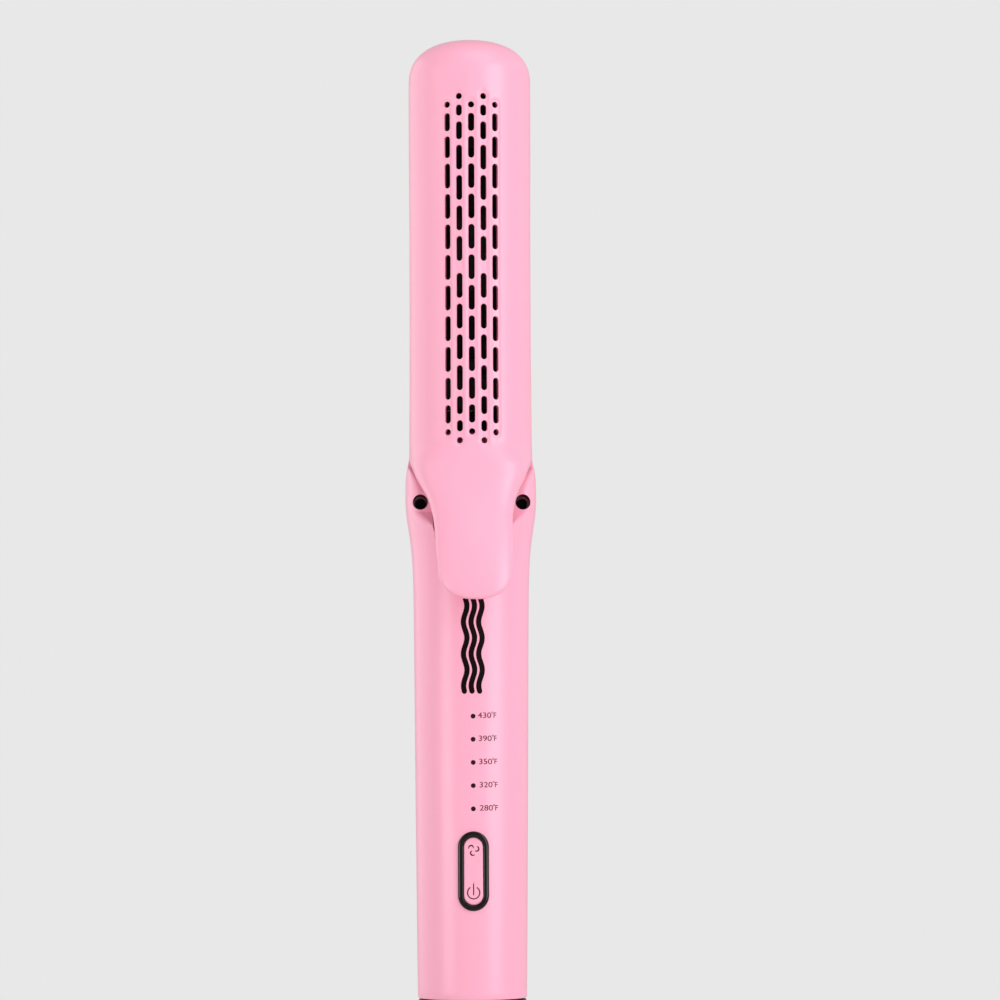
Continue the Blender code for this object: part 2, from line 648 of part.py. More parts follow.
def add_arm(shape, index):
    """One arm of the fan housing, from the hub disc out to the ring."""
    made = add_box(shape, (3.0, 11.4), (-0.8, 0.8), (-112.8, -111.6))
    turn = Matrix.Rotation(math.radians(360 // ARM_COUNT * index + 30), 3, "Z")
    bmesh.ops.rotate(shape, verts=made, cent=(0, 0, 0), matrix=turn)


def add_blade(shape, index):
    made = add_box(shape, (3.4, 10.2), (-2.4, 2.4), (-0.35, 0.35))
    lift = Matrix.Translation((0, 0, HUB_Z))
    turn = Matrix.Rotation(math.radians(360 // BLADE_COUNT * index), 4, "Z")
    pitch = Matrix.Rotation(math.radians(BLADE_PITCH_DEG), 4, "X")
    bmesh.ops.transform(shape, verts=made, matrix=lift @ turn @ pitch)


turned("air_duct", DUCT_PROFILE, HANDLE, NYLON, steps=24)

housing = turned("fan_housing", ring_profile(outer=11.9, inner=10.9, top=-111.5, bottom=-126.5),
                 HANDLE, BLACK_MATTE, steps=32)
hub_disc = cutter("fan_housing_spokes", HANDLE, add_rod, "Z", (0, 0, -112.2),
                  length=1.4, radius=5.6, segments=16)
combine(housing, "UNION", hub_disc)
for i in range(ARM_COUNT):
    combine(housing, "UNION", cutter(f"fan_housing_arm_{i}", HANDLE, add_arm, i))

motor = solid("fan_motor", HANDLE, STEEL, add_rod, "Z", (0, 0, -116.8),
              length=7.2, radius=4.4, segments=20)
shaft = cutter("fan_motor_shaft", HANDLE, add_rod, "Z", (0, 0, -122.0),
               length=5.0, radius=0.75, segments=10)
combine(motor, "UNION", shaft)

impeller = solid("fan_impeller", FAN, NYLON, add_rod, "Z", (0, 0, HUB_Z),
                 length=4.6, radius=4.2, segments=20)
for i in range(BLADE_COUNT):
    combine(impeller, "UNION", cutter(f"impeller_blade_{i}", FAN, add_blade, i))
impeller_bore = cutter("impeller_bore_cutter", FAN, add_rod, "Z", (0, 0, 1.4),
                       length=4.6, radius=1.0, segments=12)
combine(impeller, "DIFFERENCE", impeller_bore)

# ---------------------------------------------------------------- end cap, swivel and cord
# hollow cap with a lip that goes into the handle: radius, height
CAP_PROFILE = [
    (12.0, -127.2), (12.0, -128.85), (13.95, -128.85), (13.85, -136.0), (13.3, -139.6),
    (12.2, -141.9), (10.6, CAP_BOTTOM), (4.9, CAP_BOTTOM), (4.9, -140.5), (11.6, -140.5),
    (12.0, -136.0), (11.0, -131.0), (11.0, -127.2),
]
# flanged collar, its flange at the top: radius, height
COLLAR_PROFILE = [(6.2, 5.4), (6.2, 2.9), (4.55, 2.9), (4.55, -0.9), (3.0, -0.9), (3.0, 5.4)]
INTAKE_COUNT, INTAKE_CIRCLE_R = 10, 7.9
BOOT_TOP, BOOT_BORE_R = -1.3, 2.95
BOOT_RIBS, RIB_PITCH = 6, 4.5


def intake_middles():
    angles = [math.tau * (i + 0.5) / INTAKE_COUNT for i in range(INTAKE_COUNT)]
    return [
        (INTAKE_CIRCLE_R * math.cos(angle), INTAKE_CIRCLE_R * math.sin(angle), -141.5)
        for angle in angles
    ]


def boot_profile():
    """Ribs that shrink downwards, each with a groove below it, then the end and the bore."""
    points = []
    for i in range(BOOT_RIBS):
        top = BOOT_TOP - RIB_PITCH * i
        rib = 4.5 - 0.18 * i
        groove = rib - 0.7
        points += [(rib, top), (rib, top - 3.1), (groove, top - 3.3), (groove, top - 4.3)]
    return points + [(3.3, -28.6), (BOOT_BORE_R, -29.0), (BOOT_BORE_R, BOOT_TOP)]


end_cap = turned("end_cap", CAP_PROFILE, HANDLE, BLACK_CAP)
intake = cutter("intake_cutters", HANDLE, add_rods, "Z", intake_middles(),
                length=6.0, radius=1.1, segments=6)
combine(end_cap, "DIFFERENCE", intake)
turned("intake_filter", ring_profile(outer=11.2, inner=6.9, top=-139.6, bottom=-140.15),
       HANDLE, FILTER_MESH, steps=24)
turned("swivel_retainer", ring_profile(outer=8.4, inner=3.4, top=-135.6, bottom=-137.2),
       HANDLE, BLACK_MATTE, steps=24)
turned("swivel_collar", COLLAR_PROFILE, CORD, BLACK_MATTE, steps=24)
turned("strain_relief", boot_profile(), CORD, RUBBER, steps=14)
solid("power_cord", CORD, RUBBER, add_rod, "Z", (0, 0, -20.0),
      length=55.0, radius=2.65, segments=20)

# ---------------------------------------------------------------- leads
# stops along each lead: x, y, z
HEATER_LEAD_STOPS = [
    (0, -6.4, -60), (2, 0, -52), (3, 8.5, -40), (3, 9.2, -10), (2, 9.2, 12), (2, 6.5, 24),
    (1.5, 6.2, 33),
]
MAINS_LEAD_STOPS = [(5.2, -6.4, -100), (6.5, 0, -104), (9.6, 2.0, -108)]


def smooth_path(stops, steps=4):
    """Catmull-Rom points through the stops, with the end stops doubled."""
    path = []
    padded = [Vector(stop) for stop in (stops[0], *stops, stops[-1])]
    for before, start, end, after in zip(padded, padded[1:], padded[2:], padded[3:]):
        for k in range(steps):
            t = k / steps
            path.append(0.5 * (
                2 * start
                + (end - before) * t
                + (2 * before - 5 * start + 4 * end - after) * t * t
                + (3 * start - before - 3 * end + after) * t**3
            ))
    return path + [padded[-1]]


wire("rear_heater_lead", smooth_path(HEATER_LEAD_STOPS), 0.9, SILICONE)
wire("mains_lead", smooth_path(MAINS_LEAD_STOPS), 1.0, SILICONE)
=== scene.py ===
import json
import math

import bmesh
import bpy
import numpy as np
from mathutils import Matrix, Vector, geometry

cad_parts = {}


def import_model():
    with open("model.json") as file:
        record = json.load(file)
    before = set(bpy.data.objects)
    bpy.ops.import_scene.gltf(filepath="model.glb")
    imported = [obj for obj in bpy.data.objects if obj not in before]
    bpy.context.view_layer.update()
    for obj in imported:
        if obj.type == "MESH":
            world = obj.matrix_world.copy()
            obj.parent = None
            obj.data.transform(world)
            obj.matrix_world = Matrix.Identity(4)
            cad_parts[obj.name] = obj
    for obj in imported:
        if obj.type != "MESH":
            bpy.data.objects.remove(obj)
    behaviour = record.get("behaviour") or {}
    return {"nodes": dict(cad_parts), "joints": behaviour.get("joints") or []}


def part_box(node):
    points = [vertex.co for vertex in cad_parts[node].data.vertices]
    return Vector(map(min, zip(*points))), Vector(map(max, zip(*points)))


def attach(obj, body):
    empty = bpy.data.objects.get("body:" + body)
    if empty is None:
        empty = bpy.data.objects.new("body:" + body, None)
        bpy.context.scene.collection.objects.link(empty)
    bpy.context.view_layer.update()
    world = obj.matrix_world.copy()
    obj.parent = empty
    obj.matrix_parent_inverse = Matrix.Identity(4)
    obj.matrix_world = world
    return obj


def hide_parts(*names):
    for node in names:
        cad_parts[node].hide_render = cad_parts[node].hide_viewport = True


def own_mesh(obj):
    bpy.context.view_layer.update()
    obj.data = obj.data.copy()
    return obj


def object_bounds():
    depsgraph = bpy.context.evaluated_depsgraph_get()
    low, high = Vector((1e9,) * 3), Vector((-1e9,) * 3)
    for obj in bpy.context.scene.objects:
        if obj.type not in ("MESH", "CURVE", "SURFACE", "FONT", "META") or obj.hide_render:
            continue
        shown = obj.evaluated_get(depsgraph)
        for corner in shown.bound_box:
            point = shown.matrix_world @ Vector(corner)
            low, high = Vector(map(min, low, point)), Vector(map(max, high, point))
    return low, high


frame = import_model()
CAD_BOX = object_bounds()

# ------------------------------------------------------------------ driving dimensions
MM = 0.001
JOINTS = {joint["name"]: joint for joint in frame["joints"]}
HINGE_Z = JOINTS["clamp_hinge"]["pos_m"][2] * 1000.0

# bodies that pieces ride on
ROOT, CLAMP, ROCKER, CORD = "handle", "clamp", "button_rocker", "cord"


def node_mm(name):
    """The low and high corners of a CAD node's box, in mm from the hinge axis."""
    return [
        np.array([corner.x * 1000, corner.y * 1000, corner.z * 1000 - HINGE_Z])
        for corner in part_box(name)
    ]


bezel_low, bezel_high = node_mm("button_bezel")
rocker_low, rocker_high = node_mm("button_rocker")
pipe_low, pipe_high = node_mm("indicator_light_pipe")

BARREL_R = 16.05
BARREL_BOTTOM = node_mm("barrel_rear_shell")[0][2]
HANDLE_BOTTOM = node_mm("handle_front_shell")[0][2]
WALL = 1.8
EDGE_DEPTH = 0.5  # gap between a half shell's long edges and the plane y = 0
LIP = 0.25  # bulge of the long edges
DOME_START = 110.7
DOME_H = node_mm("clamp_shell")[1][2] - DOME_START
DOME_POWER = 2.4
BUTTON_Z = (bezel_low[2] + bezel_high[2]) / 2

# handle: height, radius
HANDLE_PROFILE = [
    (13.0, 16.03), (11.5, 16.15), (9.7, 16.45), (7.1, 16.88), (4.5, 17.06), (1.5, 17.12),
    (-1.0, 17.06), (-3.4, 16.88), (-7.3, 16.32), (-11.3, 15.77), (-15.2, 15.40), (-19.1, 15.20),
    (-23.0, 15.08), (-28.3, 15.00), (-60.0, 14.75), (-100.0, 14.40), (-128.5, 14.10),
]
# barrel: height, radius
WAIST = [
    (120.0, BARREL_R), (DOME_START, BARREL_R), (92.0, 16.02), (79.0, 15.93), (60.0, 15.88),
    (40.0, 15.89), (27.0, 15.95),
]


def round_station(z, radius):
    """A round section, with the columns of JAW."""
    return (z, radius, radius, EDGE_DEPTH, 2.0, WALL, WALL, 0.0)


# height, half width, front, edge depth, squareness, wall,
# side inset of the inner skin, edge recess of the inner skin
JAW = [round_station(*station) for station in WAIST + [(16.5, 16.00), (14.6, 16.03)]] + [
    (13.3, 16.08, 16.22, 0.50, 2.2, 1.8, 1.8, 0.0),
    (11.5, 16.10, 16.60, 0.50, 2.5, 1.8, 1.8, 0.0),
    (9.9, 15.80, 16.95, 3.20, 2.8, 1.8, 1.8, 0.0),
    (8.2, 15.20, 17.30, 5.60, 3.0, 1.8, 1.8, 0.1),
    (5.2, 14.00, 18.00, 8.70, 3.1, 1.8, 1.7, 0.3),
    (1.65, 12.22, 19.00, 11.5, 3.1, 1.9, 1.4, 0.7),
    (-1.45, 11.10, 20.05, 13.6, 3.0, 2.0, 1.1, 0.9),
    (-5.9, 10.18, 21.80, 17.1, 2.7, 2.2, 0.7, 0.9),
    (-8.9, 9.98, 23.00, 18.9, 2.5, 2.3, 0.5, 1.2),
    (-14.2, 9.82, 25.00, 21.4, 2.2, 2.4, 0.3, 1.7),
    (-19.0, 9.45, 26.50, 23.5, 2.1, 2.4, 0.3, 1.6),
    (-27.2, 9.35, 28.20, 26.1, 2.1, 2.2, 0.3, 0.6),
]
REAR = [round_station(*station) for station in WAIST + [(15.0, 16.02), (10.0, BARREL_R)]]

# the lever under the jaw: its rounding starts at LEVER_ROUND and closes at LEVER_TIP
LEVER_TIP, LEVER_ROUND, LEVER_POWER = -26.95, -19.0, 2.35
# height, sideways shift of the jaw
LEVER_LEAN = [
    (-30.0, 0.46), (-15.5, 0.46), (-12.5, 0.40), (-9.5, 0.26), (-4.0, 0.05), (-0.5, -0.05),
    (4.0, -0.26), (7.0, -0.22), (12.0, 0.0),
]
LEAN_TOP = LEVER_LEAN[-1][0]


# ------------------------------------------------------------------ numeric helpers
def smooth_curve(xs, ys):
    """A smooth interpolation that never overshoots its points."""
    order = np.argsort(xs)
    xs, ys = np.asarray(xs, float)[order], np.asarray(ys, float)[order]
    step = np.diff(xs)
    slope = np.diff(ys) / step
    tangent = np.zeros(len(xs))
    for i in range(1, len(xs) - 1):
        if slope[i - 1] * slope[i] > 0:
            before, after = 2 * step[i] + step[i - 1], step[i] + 2 * step[i - 1]
            tangent[i] = (before + after) / (before / slope[i - 1] + after / slope[i])
    tangent[0], tangent[-1] = slope[0], slope[-1]

    def curve(x):
        x = np.clip(np.asarray(x, float), xs[0], xs[-1])
        k = np.clip(np.searchsorted(xs, x) - 1, 0, len(xs) - 2)
        t = (x - xs[k]) / step[k]
        return (
            (2 * t**3 - 3 * t**2 + 1) * ys[k]
            + (t**3 - 2 * t**2 + t) * step[k] * tangent[k]
            + (-2 * t**3 + 3 * t**2) * ys[k + 1]
            + (t**3 - t**2) * step[k] * tangent[k + 1]
        )

    return curve


def smooth01(t):
    t = np.clip(t, 0.0, 1.0)
    return t * t * (3 - 2 * t)


def soft_min(a, b, width):
    share = np.clip(0.5 + 0.5 * (b - a) / width, 0.0, 1.0)
    return b * (1 - share) + a * share - width * share * (1 - share)


def end_inset(z, end):
    """How far a skin is drawn in as it reaches its lower end."""
    if z >= end + 0.2:
        return 0.0
    return 0.2 if z <= end + 0.01 else 0.06


handle_radius = smooth_curve(*zip(*HANDLE_PROFILE))
lever_lean = smooth_curve(*zip(*LEVER_LEAN))


# ------------------------------------------------------------------ mesh helpers
WELD = 0.0008


def world(x, y, z):
    return Vector((x * MM, y * MM, (z + HINGE_Z) * MM))


class Mesher:
    """Collects points and faces in mm from the hinge axis, then makes one object."""

    def __init__(self):
        self.points, self.faces = [], []

    def add(self, point):
        self.points.append(tuple(float(value) for value in point))
        return len(self.points) - 1

    def add_row(self, points):
        return [self.add(point) for point in points]

    def grid(self, rows, flip=False, skip=None, close=False):
        """Join rows of point numbers with quads, leaving out cells where skip(row, column)."""
        for i, (low, high) in enumerate(zip(rows, rows[1:])):
            count = len(low)
            for j in range(count if close else count - 1):
                if skip and skip(i, j):
                    continue
                k = (j + 1) % count
                quad = (low[j], low[k], high[k], high[j])
                self.faces.append(quad[::-1] if flip else quad)

    def cap(self, ring):
        self.faces.append(tuple(ring))

    def make(self, name, body, mat, turn_z=0.0, sharp=None, normal=None):
        solid = bmesh.new()
        verts = [solid.verts.new(world(*point)) for point in self.points]
        for face in self.faces:
            ids = list(dict.fromkeys(face))
            if len(ids) < 3:
                continue
            # collapsed cells can repeat a face that is already there
            try:
                solid.faces.new([verts[i] for i in ids])
            except ValueError:
                pass
        bmesh.ops.remove_doubles(solid, verts=solid.verts, dist=WELD * MM)
        bmesh.ops.dissolve_degenerate(solid, edges=solid.edges, dist=1e-8)
        loose = [v for v in solid.verts if not v.link_faces]
        bmesh.ops.delete(solid, geom=loose, context="VERTS")
        bmesh.ops.recalc_face_normals(solid, faces=solid.faces)
        if turn_z:
            turn = Matrix.Rotation(turn_z, 3, "Z")
            bmesh.ops.rotate(solid, verts=solid.verts, cent=(0, 0, 0), matrix=turn)
        mesh = bpy.data.meshes.new(name)
        solid.to_mesh(mesh)
        solid.free()
        return finish_mesh(mesh, name, body, mat, sharp, normal)


def finish_mesh(mesh, name, body, mat, sharp=None, normal=None):
    obj = bpy.data.objects.new(name, mesh)
    bpy.context.scene.collection.objects.link(obj)
    mesh.materials.clear()
    mesh.materials.append(mat)
    mesh.shade_smooth()
    if sharp:
        mesh.set_sharp_from_angle(angle=math.radians(sharp))
    if normal:
        set_normals(mesh, normal)
    if body:
        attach(obj, body)
    return obj


def stand_in(obj, node):
    """Let an object take the place of a CAD node, by hiding the node."""
    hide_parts(node)


def read_vectors(collection, attribute):
    flat = np.empty(len(collection) * 3, np.float32)
    collection.foreach_get(attribute, flat)
    return flat.reshape(-1, 3).astype(float)


def set_normals(mesh, normal, agreement=0.80):
    """Set exact normals where the skin is a known surface.

    normal(points in mm from the hinge axis) gives (mask, normals).
    """
    points = read_vectors(mesh.vertices, "co") * 1000.0
    points[:, 2] -= HINGE_Z
    smooth = read_vectors(mesh.vertex_normals, "vector")
    mask, exact = normal(points)
    use = mask & ((smooth * exact).sum(1) > agreement)
    smooth[use] = exact[use]
    corners = np.empty(len(mesh.loops), np.int32)
    mesh.loops.foreach_get("vertex_index", corners)
    split = read_vectors(mesh.corner_normals, "vector")
    take = use[corners] & ((split * smooth[corners]).sum(1) > agreement)
    split[take] = smooth[corners][take]
    mesh.normals_split_custom_set([Vector(v) for v in split])


# ------------------------------------------------------------------ material helpers
def new_material(name):
    mat = bpy.data.materials.new(name)
    mat.use_nodes = True
    return mat, mat.node_tree, mat.node_tree.nodes["Principled BSDF"]


def feed(tree, socket, value):
    """Link an output socket into an input socket, or set it to a plain value."""
    if isinstance(value, bpy.types.NodeSocket):
        tree.links.new(value, socket)
    else:
        socket.default_value = value


def noise(tree, coords, scale, detail, roughness):
    node = tree.nodes.new("ShaderNodeTexNoise")
    node.inputs["Scale"].default_value = scale
    node.inputs["Detail"].default_value = detail
    node.inputs["Roughness"].default_value = roughness
    tree.links.new(coords, node.inputs["Vector"])
    return node.outputs["Fac"]


def object_coords(tree, scale=(1, 1, 1)):
    coords = tree.nodes.new("ShaderNodeTexCoord")
    mapping = tree.nodes.new("ShaderNodeMapping")
    mapping.inputs["Scale"].default_value = scale
    tree.links.new(coords.outputs["Object"], mapping.inputs["Vector"])
    return mapping.outputs["Vector"]


def math_node(tree, operation, first, second):
    node = tree.nodes.new("ShaderNodeMath")
    node.operation = operation
    feed(tree, node.inputs[0], first)
    feed(tree, node.inputs[1], second)
    return node.outputs[0]


def mix_colour(tree, factor, first, second):
    node = tree.nodes.new("ShaderNodeMix")
    node.data_type = "RGBA"
    feed(tree, node.inputs["Factor"], factor)
    feed(tree, node.inputs["A"], first)
    feed(tree, node.inputs["B"], second)
    return node.outputs["Result"]


def drifting_colour(tree, shader, factor, rgb, variation):
    dark = (*[c * (1 - variation) for c in rgb], 1)
    light = (*[min(1.0, c * (1 + variation)) for c in rgb], 1)
    tree.links.new(mix_colour(tree, factor, dark, light), shader.inputs["Base Color"])


def drifting_roughness(tree, shader, value, low, high):
    node = tree.nodes.new("ShaderNodeMapRange")
    node.inputs["From Min"].default_value = 0.3
    node.inputs["From Max"].default_value = 0.7
    node.inputs["To Min"].default_value = low
    node.inputs["To Max"].default_value = high
    tree.links.new(value, node.inputs["Value"])
    tree.links.new(node.outputs["Result"], shader.inputs["Roughness"])


def bump(tree, shader, height, strength, distance):
    node = tree.nodes.new("ShaderNodeBump")
    node.inputs["Strength"].default_value = strength
    node.inputs["Distance"].default_value = distance
    tree.links.new(height, node.inputs["Height"])
    tree.links.new(node.outputs["Normal"], shader.inputs["Normal"])


def plastic(
    name, rgb, roughness, grain=0.0, grain_scale=2600.0, variation=0.02, specular=0.5, subsurface=0.0
):
    """Moulded plastic: a hair of colour drift, uneven sheen and a fine moulded grain."""
    mat, tree, shader = new_material(name)
    coords = object_coords(tree)
    drift = noise(tree, coords, scale=38.0, detail=2.0, roughness=0.5)
    drifting_colour(tree, shader, drift, rgb, variation)
    sheen = noise(tree, coords, scale=210.0, detail=4.0, roughness=0.6)
    drifting_roughness(tree, shader, sheen, low=roughness * 0.93, high=roughness * 1.07)
    shader.inputs["Specular IOR Level"].default_value = specular
    if subsurface:
        shader.inputs["Subsurface Weight"].default_value = subsurface
        shader.inputs["Subsurface Radius"].default_value = (0.0016, 0.0007, 0.0009)
        shader.inputs["Subsurface Scale"].default_value = 1.0
    if grain:
        fine = noise(tree, coords, scale=grain_scale, detail=2.0, roughness=0.6)
        bump(tree, shader, fine, strength=grain, distance=0.00004)
    return mat


def metal(name, rgb, roughness, scale, stretch=(1, 1, 1), strength=0.12, variation=0.06):
    """Worked metal: a noise, drawn out by stretch, in its colour, sheen and surface."""
    mat, tree, shader = new_material(name)
    shader.inputs["Metallic"].default_value = 1.0
    streak = noise(tree, object_coords(tree, stretch), scale=scale, detail=4.0, roughness=0.6)
    drifting_colour(tree, shader, streak, rgb, variation)
    drifting_roughness(tree, shader, streak, low=roughness * 0.8, high=roughness * 1.25)
    bump(tree, shader, streak, strength=strength, distance=0.00005)
    return mat


def plate_metal(name, back):
    """A heating plate: coated metal on its working face, dark oxide on the face towards back * Y."""
    mat = metal(
        name, (0.27, 0.235, 0.26), roughness=0.22, scale=2600.0, stretch=(1, 1, 0.03), strength=0.05
    )
    tree = mat.node_tree
    shader = tree.nodes["Principled BSDF"]
    colour, roughness = shader.inputs["Base Color"], shader.inputs["Roughness"]
    coords = tree.nodes.new("ShaderNodeTexCoord")
    split = tree.nodes.new("ShaderNodeSeparateXYZ")
    tree.links.new(coords.outputs["Normal"], split.inputs[0])
    turned = math_node(tree, "MULTIPLY", split.outputs["Y"], back)
    oxide = math_node(tree, "GREATER_THAN", turned, 0.5)
    tree.links.new(math_node(tree, "SUBTRACT", 1.0, oxide), shader.inputs["Metallic"])
    coated = colour.links[0].from_socket
    tree.links.new(mix_colour(tree, oxide, coated, (0.004, 0.003, 0.0035, 1)), colour)
    dull = math_node(tree, "MULTIPLY", oxide, 0.8)
    sheen = roughness.links[0].from_socket
    tree.links.new(math_node(tree, "MAXIMUM", sheen, dull), roughness)
    return mat


def board_material():
    mat, tree, shader = new_material("circuit_board")
    cells = tree.nodes.new("ShaderNodeTexBrick")
    cells.inputs["Scale"].default_value = 420.0
    cells.inputs["Color1"].default_value = (0.012, 0.11, 0.045, 1)
    cells.inputs["Color2"].default_value = (0.016, 0.14, 0.055, 1)
    cells.inputs["Mortar"].default_value = (0.03, 0.20, 0.08, 1)
    cells.inputs["Mortar Size"].default_value = 0.04
    tree.links.new(object_coords(tree), cells.inputs["Vector"])
    tree.links.new(cells.outputs["Color"], shader.inputs["Base Color"])
    shader.inputs["Roughness"].default_value = 0.35
    return mat


def filter_material():
    """A weave: the higher of two crossed waves."""
    mat, tree, shader = new_material("woven_filter_mesh")
    coords = object_coords(tree)
    waves = []
    for axis in ("X", "Y"):
        wave = tree.nodes.new("ShaderNodeTexWave")
        wave.bands_direction = axis
        wave.inputs["Scale"].default_value = 600.0
        tree.links.new(coords, wave.inputs["Vector"])
        waves.append(wave.outputs["Fac"])
    shader.inputs["Base Color"].default_value = (0.03, 0.03, 0.033, 1)
    shader.inputs["Roughness"].default_value = 0.7
    bump(tree, shader, math_node(tree, "MAXIMUM", *waves), strength=0.8, distance=0.0002)
    return mat


# ------------------------------------------------------------------ materials
PINK_RGB = (0.99, 0.418, 0.568)
PINK = plastic(
    "satin_pink_plastic", PINK_RGB, roughness=0.31, grain=0.10, variation=0.012, subsurface=0.06
)
# Dark maroon for the screw wells' side walls: painted shade, standing in for the pink plastic in
# deep shadow.
WELL_PAINTED_SHADE = plastic(
    "painted_shade_well_plastic", (0.30, 0.022, 0.065), roughness=0.42, variation=0.03, specular=0.35
)
PINK_KEY = plastic("satin_pink_key", PINK_RGB, roughness=0.31, grain=0.08, variation=0.01)
BLACK_GLOSS = plastic(
    "polished_black_ring", (0.004, 0.0008, 0.0012), roughness=0.07, variation=0.1, specular=0.30
)
BLACK_SATIN = plastic(
    "satin_black_cap", (0.006, 0.004, 0.005), roughness=0.30, grain=0.15, variation=0.1,
    specular=0.35,
)
BLACK_MATTE = plastic(
    "heat_resistant_black", (0.0035, 0.0028, 0.003), roughness=0.6, specular=0.10, grain=0.5,
    grain_scale=1800.0, variation=0.15,
)
INK = plastic(
    "printed_black_ink", (0.005, 0.0008, 0.0015), roughness=0.5, variation=0.1, specular=0.08
)
PLUM_INK = plastic(
    "printed_plum_ink", (0.075, 0.006, 0.022), roughness=0.5, variation=0.1, specular=0.1
)
LENS = plastic(
    "dark_indicator_lens", (0.022, 0.002, 0.007), roughness=0.16, variation=0.1, specular=0.25
)
RUBBER = plastic(
    "soft_black_rubber", (0.012, 0.012, 0.012), roughness=0.62, grain=0.6, grain_scale=1500.0,
    variation=0.2,
)
SILICONE = plastic(
    "silicone_sleeve", (0.62, 0.58, 0.53), roughness=0.55, grain=0.3, variation=0.05
)
NYLON = plastic(
    "natural_nylon", (0.68, 0.65, 0.55), roughness=0.5, grain=0.4, grain_scale=1400.0,
    variation=0.04,
)
CERAMIC = plastic(
    "black_alumina_heater", (0.012, 0.010, 0.010), roughness=0.7, specular=0.2, grain=0.8,
    grain_scale=1200.0, variation=0.06,
)
TITANIUM_REAR = plate_metal("coated_titanium_rear_plate", back=1.0)
TITANIUM_CLAMP = plate_metal("coated_titanium_clamp_plate", back=-1.0)
DARK_STEEL = metal("black_oxide_steel", (0.010, 0.008, 0.010), roughness=0.45, scale=1500.0)
STEEL = metal("drawn_steel", (0.56, 0.56, 0.57), roughness=0.28, scale=1200.0)
BRONZE = metal("sintered_bronze", (0.46, 0.28, 0.12), roughness=0.38, scale=3000.0, strength=0.3)
BOARD = board_material()
FILTER = filter_material()

# ------------------------------------------------------------------ vents
# Vents are pills in five columns, each in a recessed strip. A pill is (u, z, half length), with
# u the arc length round the barrel from its middle.
VENT_R = 0.81
VENT_LONG, VENT_PITCH = 6.50, 7.92
VENT_ODD_START = 4.79  # offset of the first long vents in the columns next to the middle one
VENT_MID_FRONT, VENT_MID_REAR = 59.7, 61.2
# the short vents at both ends of a column: distance from the middle, length
SHORT_VENTS_EVEN = [(31.3, 5.70), (37.85, 4.75), (42.45, 2 * VENT_R)]
SHORT_VENTS_ODD = [(35.57, 4.70), (40.87, 2.90), (44.57, 2 * VENT_R)]
ARC_PER_DEGREE = math.radians(1.0) * BARREL_R
COLUMN_PITCH = 11.75 * ARC_PER_DEGREE
STRIP_R, STRIP_DEPTH, STRIP_EDGE, STRIP_MARGIN = 1.22, 0.24, 0.10, 1.48
VENT_FILLET = 0.20


def vent_layout(middle):
    """The pills of the vents, and those of the strips round each column."""
    vents, strips = [], []
    for column in (-2, -1, 0, 1, 2):
        if column % 2 == 0:
            offsets = [(VENT_PITCH * i, VENT_LONG) for i in range(-3, 4)]
            short = SHORT_VENTS_EVEN
        else:
            offsets = [
                (side * (VENT_ODD_START + VENT_PITCH * i), VENT_LONG)
                for i in range(4)
                for side in (-1, 1)
            ]
            short = SHORT_VENTS_ODD
        offsets += [(side * distance, length) for distance, length in short for side in (-1, 1)]
        shift, stretch = (0.12, 1.0065) if column == 0 else (0.13, 1.0095)

        def spread(distance):
            return distance * stretch - 0.00008 * distance * distance

        u = column * COLUMN_PITCH
        vents += [(u, middle + shift + spread(offset), length / 2) for offset, length in offsets]
        top, bottom = spread(short[-1][0]), spread(-short[-1][0])
        strips.append((u, middle + shift + (top + bottom) / 2, (top - bottom) / 2 + STRIP_MARGIN))
    return vents, strips


def pills_distance(u, z, pills, radius):
    """Signed distance to the nearest pill, negative inside."""
    nearest = np.full(np.shape(u), 1e9)
    for pill_u, pill_z, half_length in pills:
        beyond = np.maximum(np.abs(z - pill_z) - (half_length - radius), 0.0)
        nearest = np.minimum(nearest, np.hypot(u - pill_u, beyond) - radius)
    return nearest


def pill_loop(centre_x, centre_z, half_length, radius, end_steps, side_step):
    """Points round a pill, counter-clockwise, with extra points along long sides."""
    straight = max(0.0, half_length - radius)
    side_count = max(1, int(round(2 * straight / side_step)))
    points = []
    for side, start in ((1, 0.0), (-1, math.pi)):
        for i in range(end_steps + 1):
            a = start + math.pi * i / end_steps
            z = centre_z + side * straight + radius * math.sin(a)
            points.append((centre_x + radius * math.cos(a), z))
        for i in range(1, side_count):
            z = centre_z + side * (straight - 2 * straight * i / side_count)
            points.append((centre_x - side * radius, z))
    if straight < 1e-6:
        # the ends meet in a circle: drop the doubled points
        points = points[:end_steps] + points[end_steps + 1 : 2 * end_steps + 1]
    return points


# ------------------------------------------------------------------ half shells of the barrel
COLUMNS = 90
ANGLES = [math.radians(-90 + 180 * j / COLUMNS) for j in range(COLUMNS + 1)]
DOME_ROWS = 30
LIP_STEPS = 8
WINDOW_TOP, WINDOW_LEFT, WINDOW_RIGHT = 108.9, 28, 62  # height, first and last column


def section_curve(stations, is_jaw):
    """section(z) gives the other columns of the stations, closing towards the lever's tip."""
    heights, *columns = zip(*stations)
    curves = [smooth_curve(heights, column) for column in columns]

    def section(z):
        width, front, edge, squareness, wall, inset, recess = [float(curve(z)) for curve in curves]
        if is_jaw and z < LEVER_ROUND:
            down = min(1.0, (LEVER_ROUND - z) / (LEVER_ROUND - LEVER_TIP))
            shrink = max(0.0, 1 - down**LEVER_POWER) ** (1 / LEVER_POWER)
            rise = (front - edge) * shrink**0.8
            width *= shrink
            front = edge + rise
            inset *= shrink
            wall = min(wall, recess + rise)
        return width, front, edge, squareness, wall, inset, recess

    return section


def superellipse(angle, squareness):
    """Sideways and forward share of a rounded-square section at an angle."""
    across, ahead = math.sin(angle), max(0.0, math.cos(angle))
    scale = (abs(across) ** squareness + ahead**squareness) ** (-1 / squareness)
    return scale * across, scale * ahead


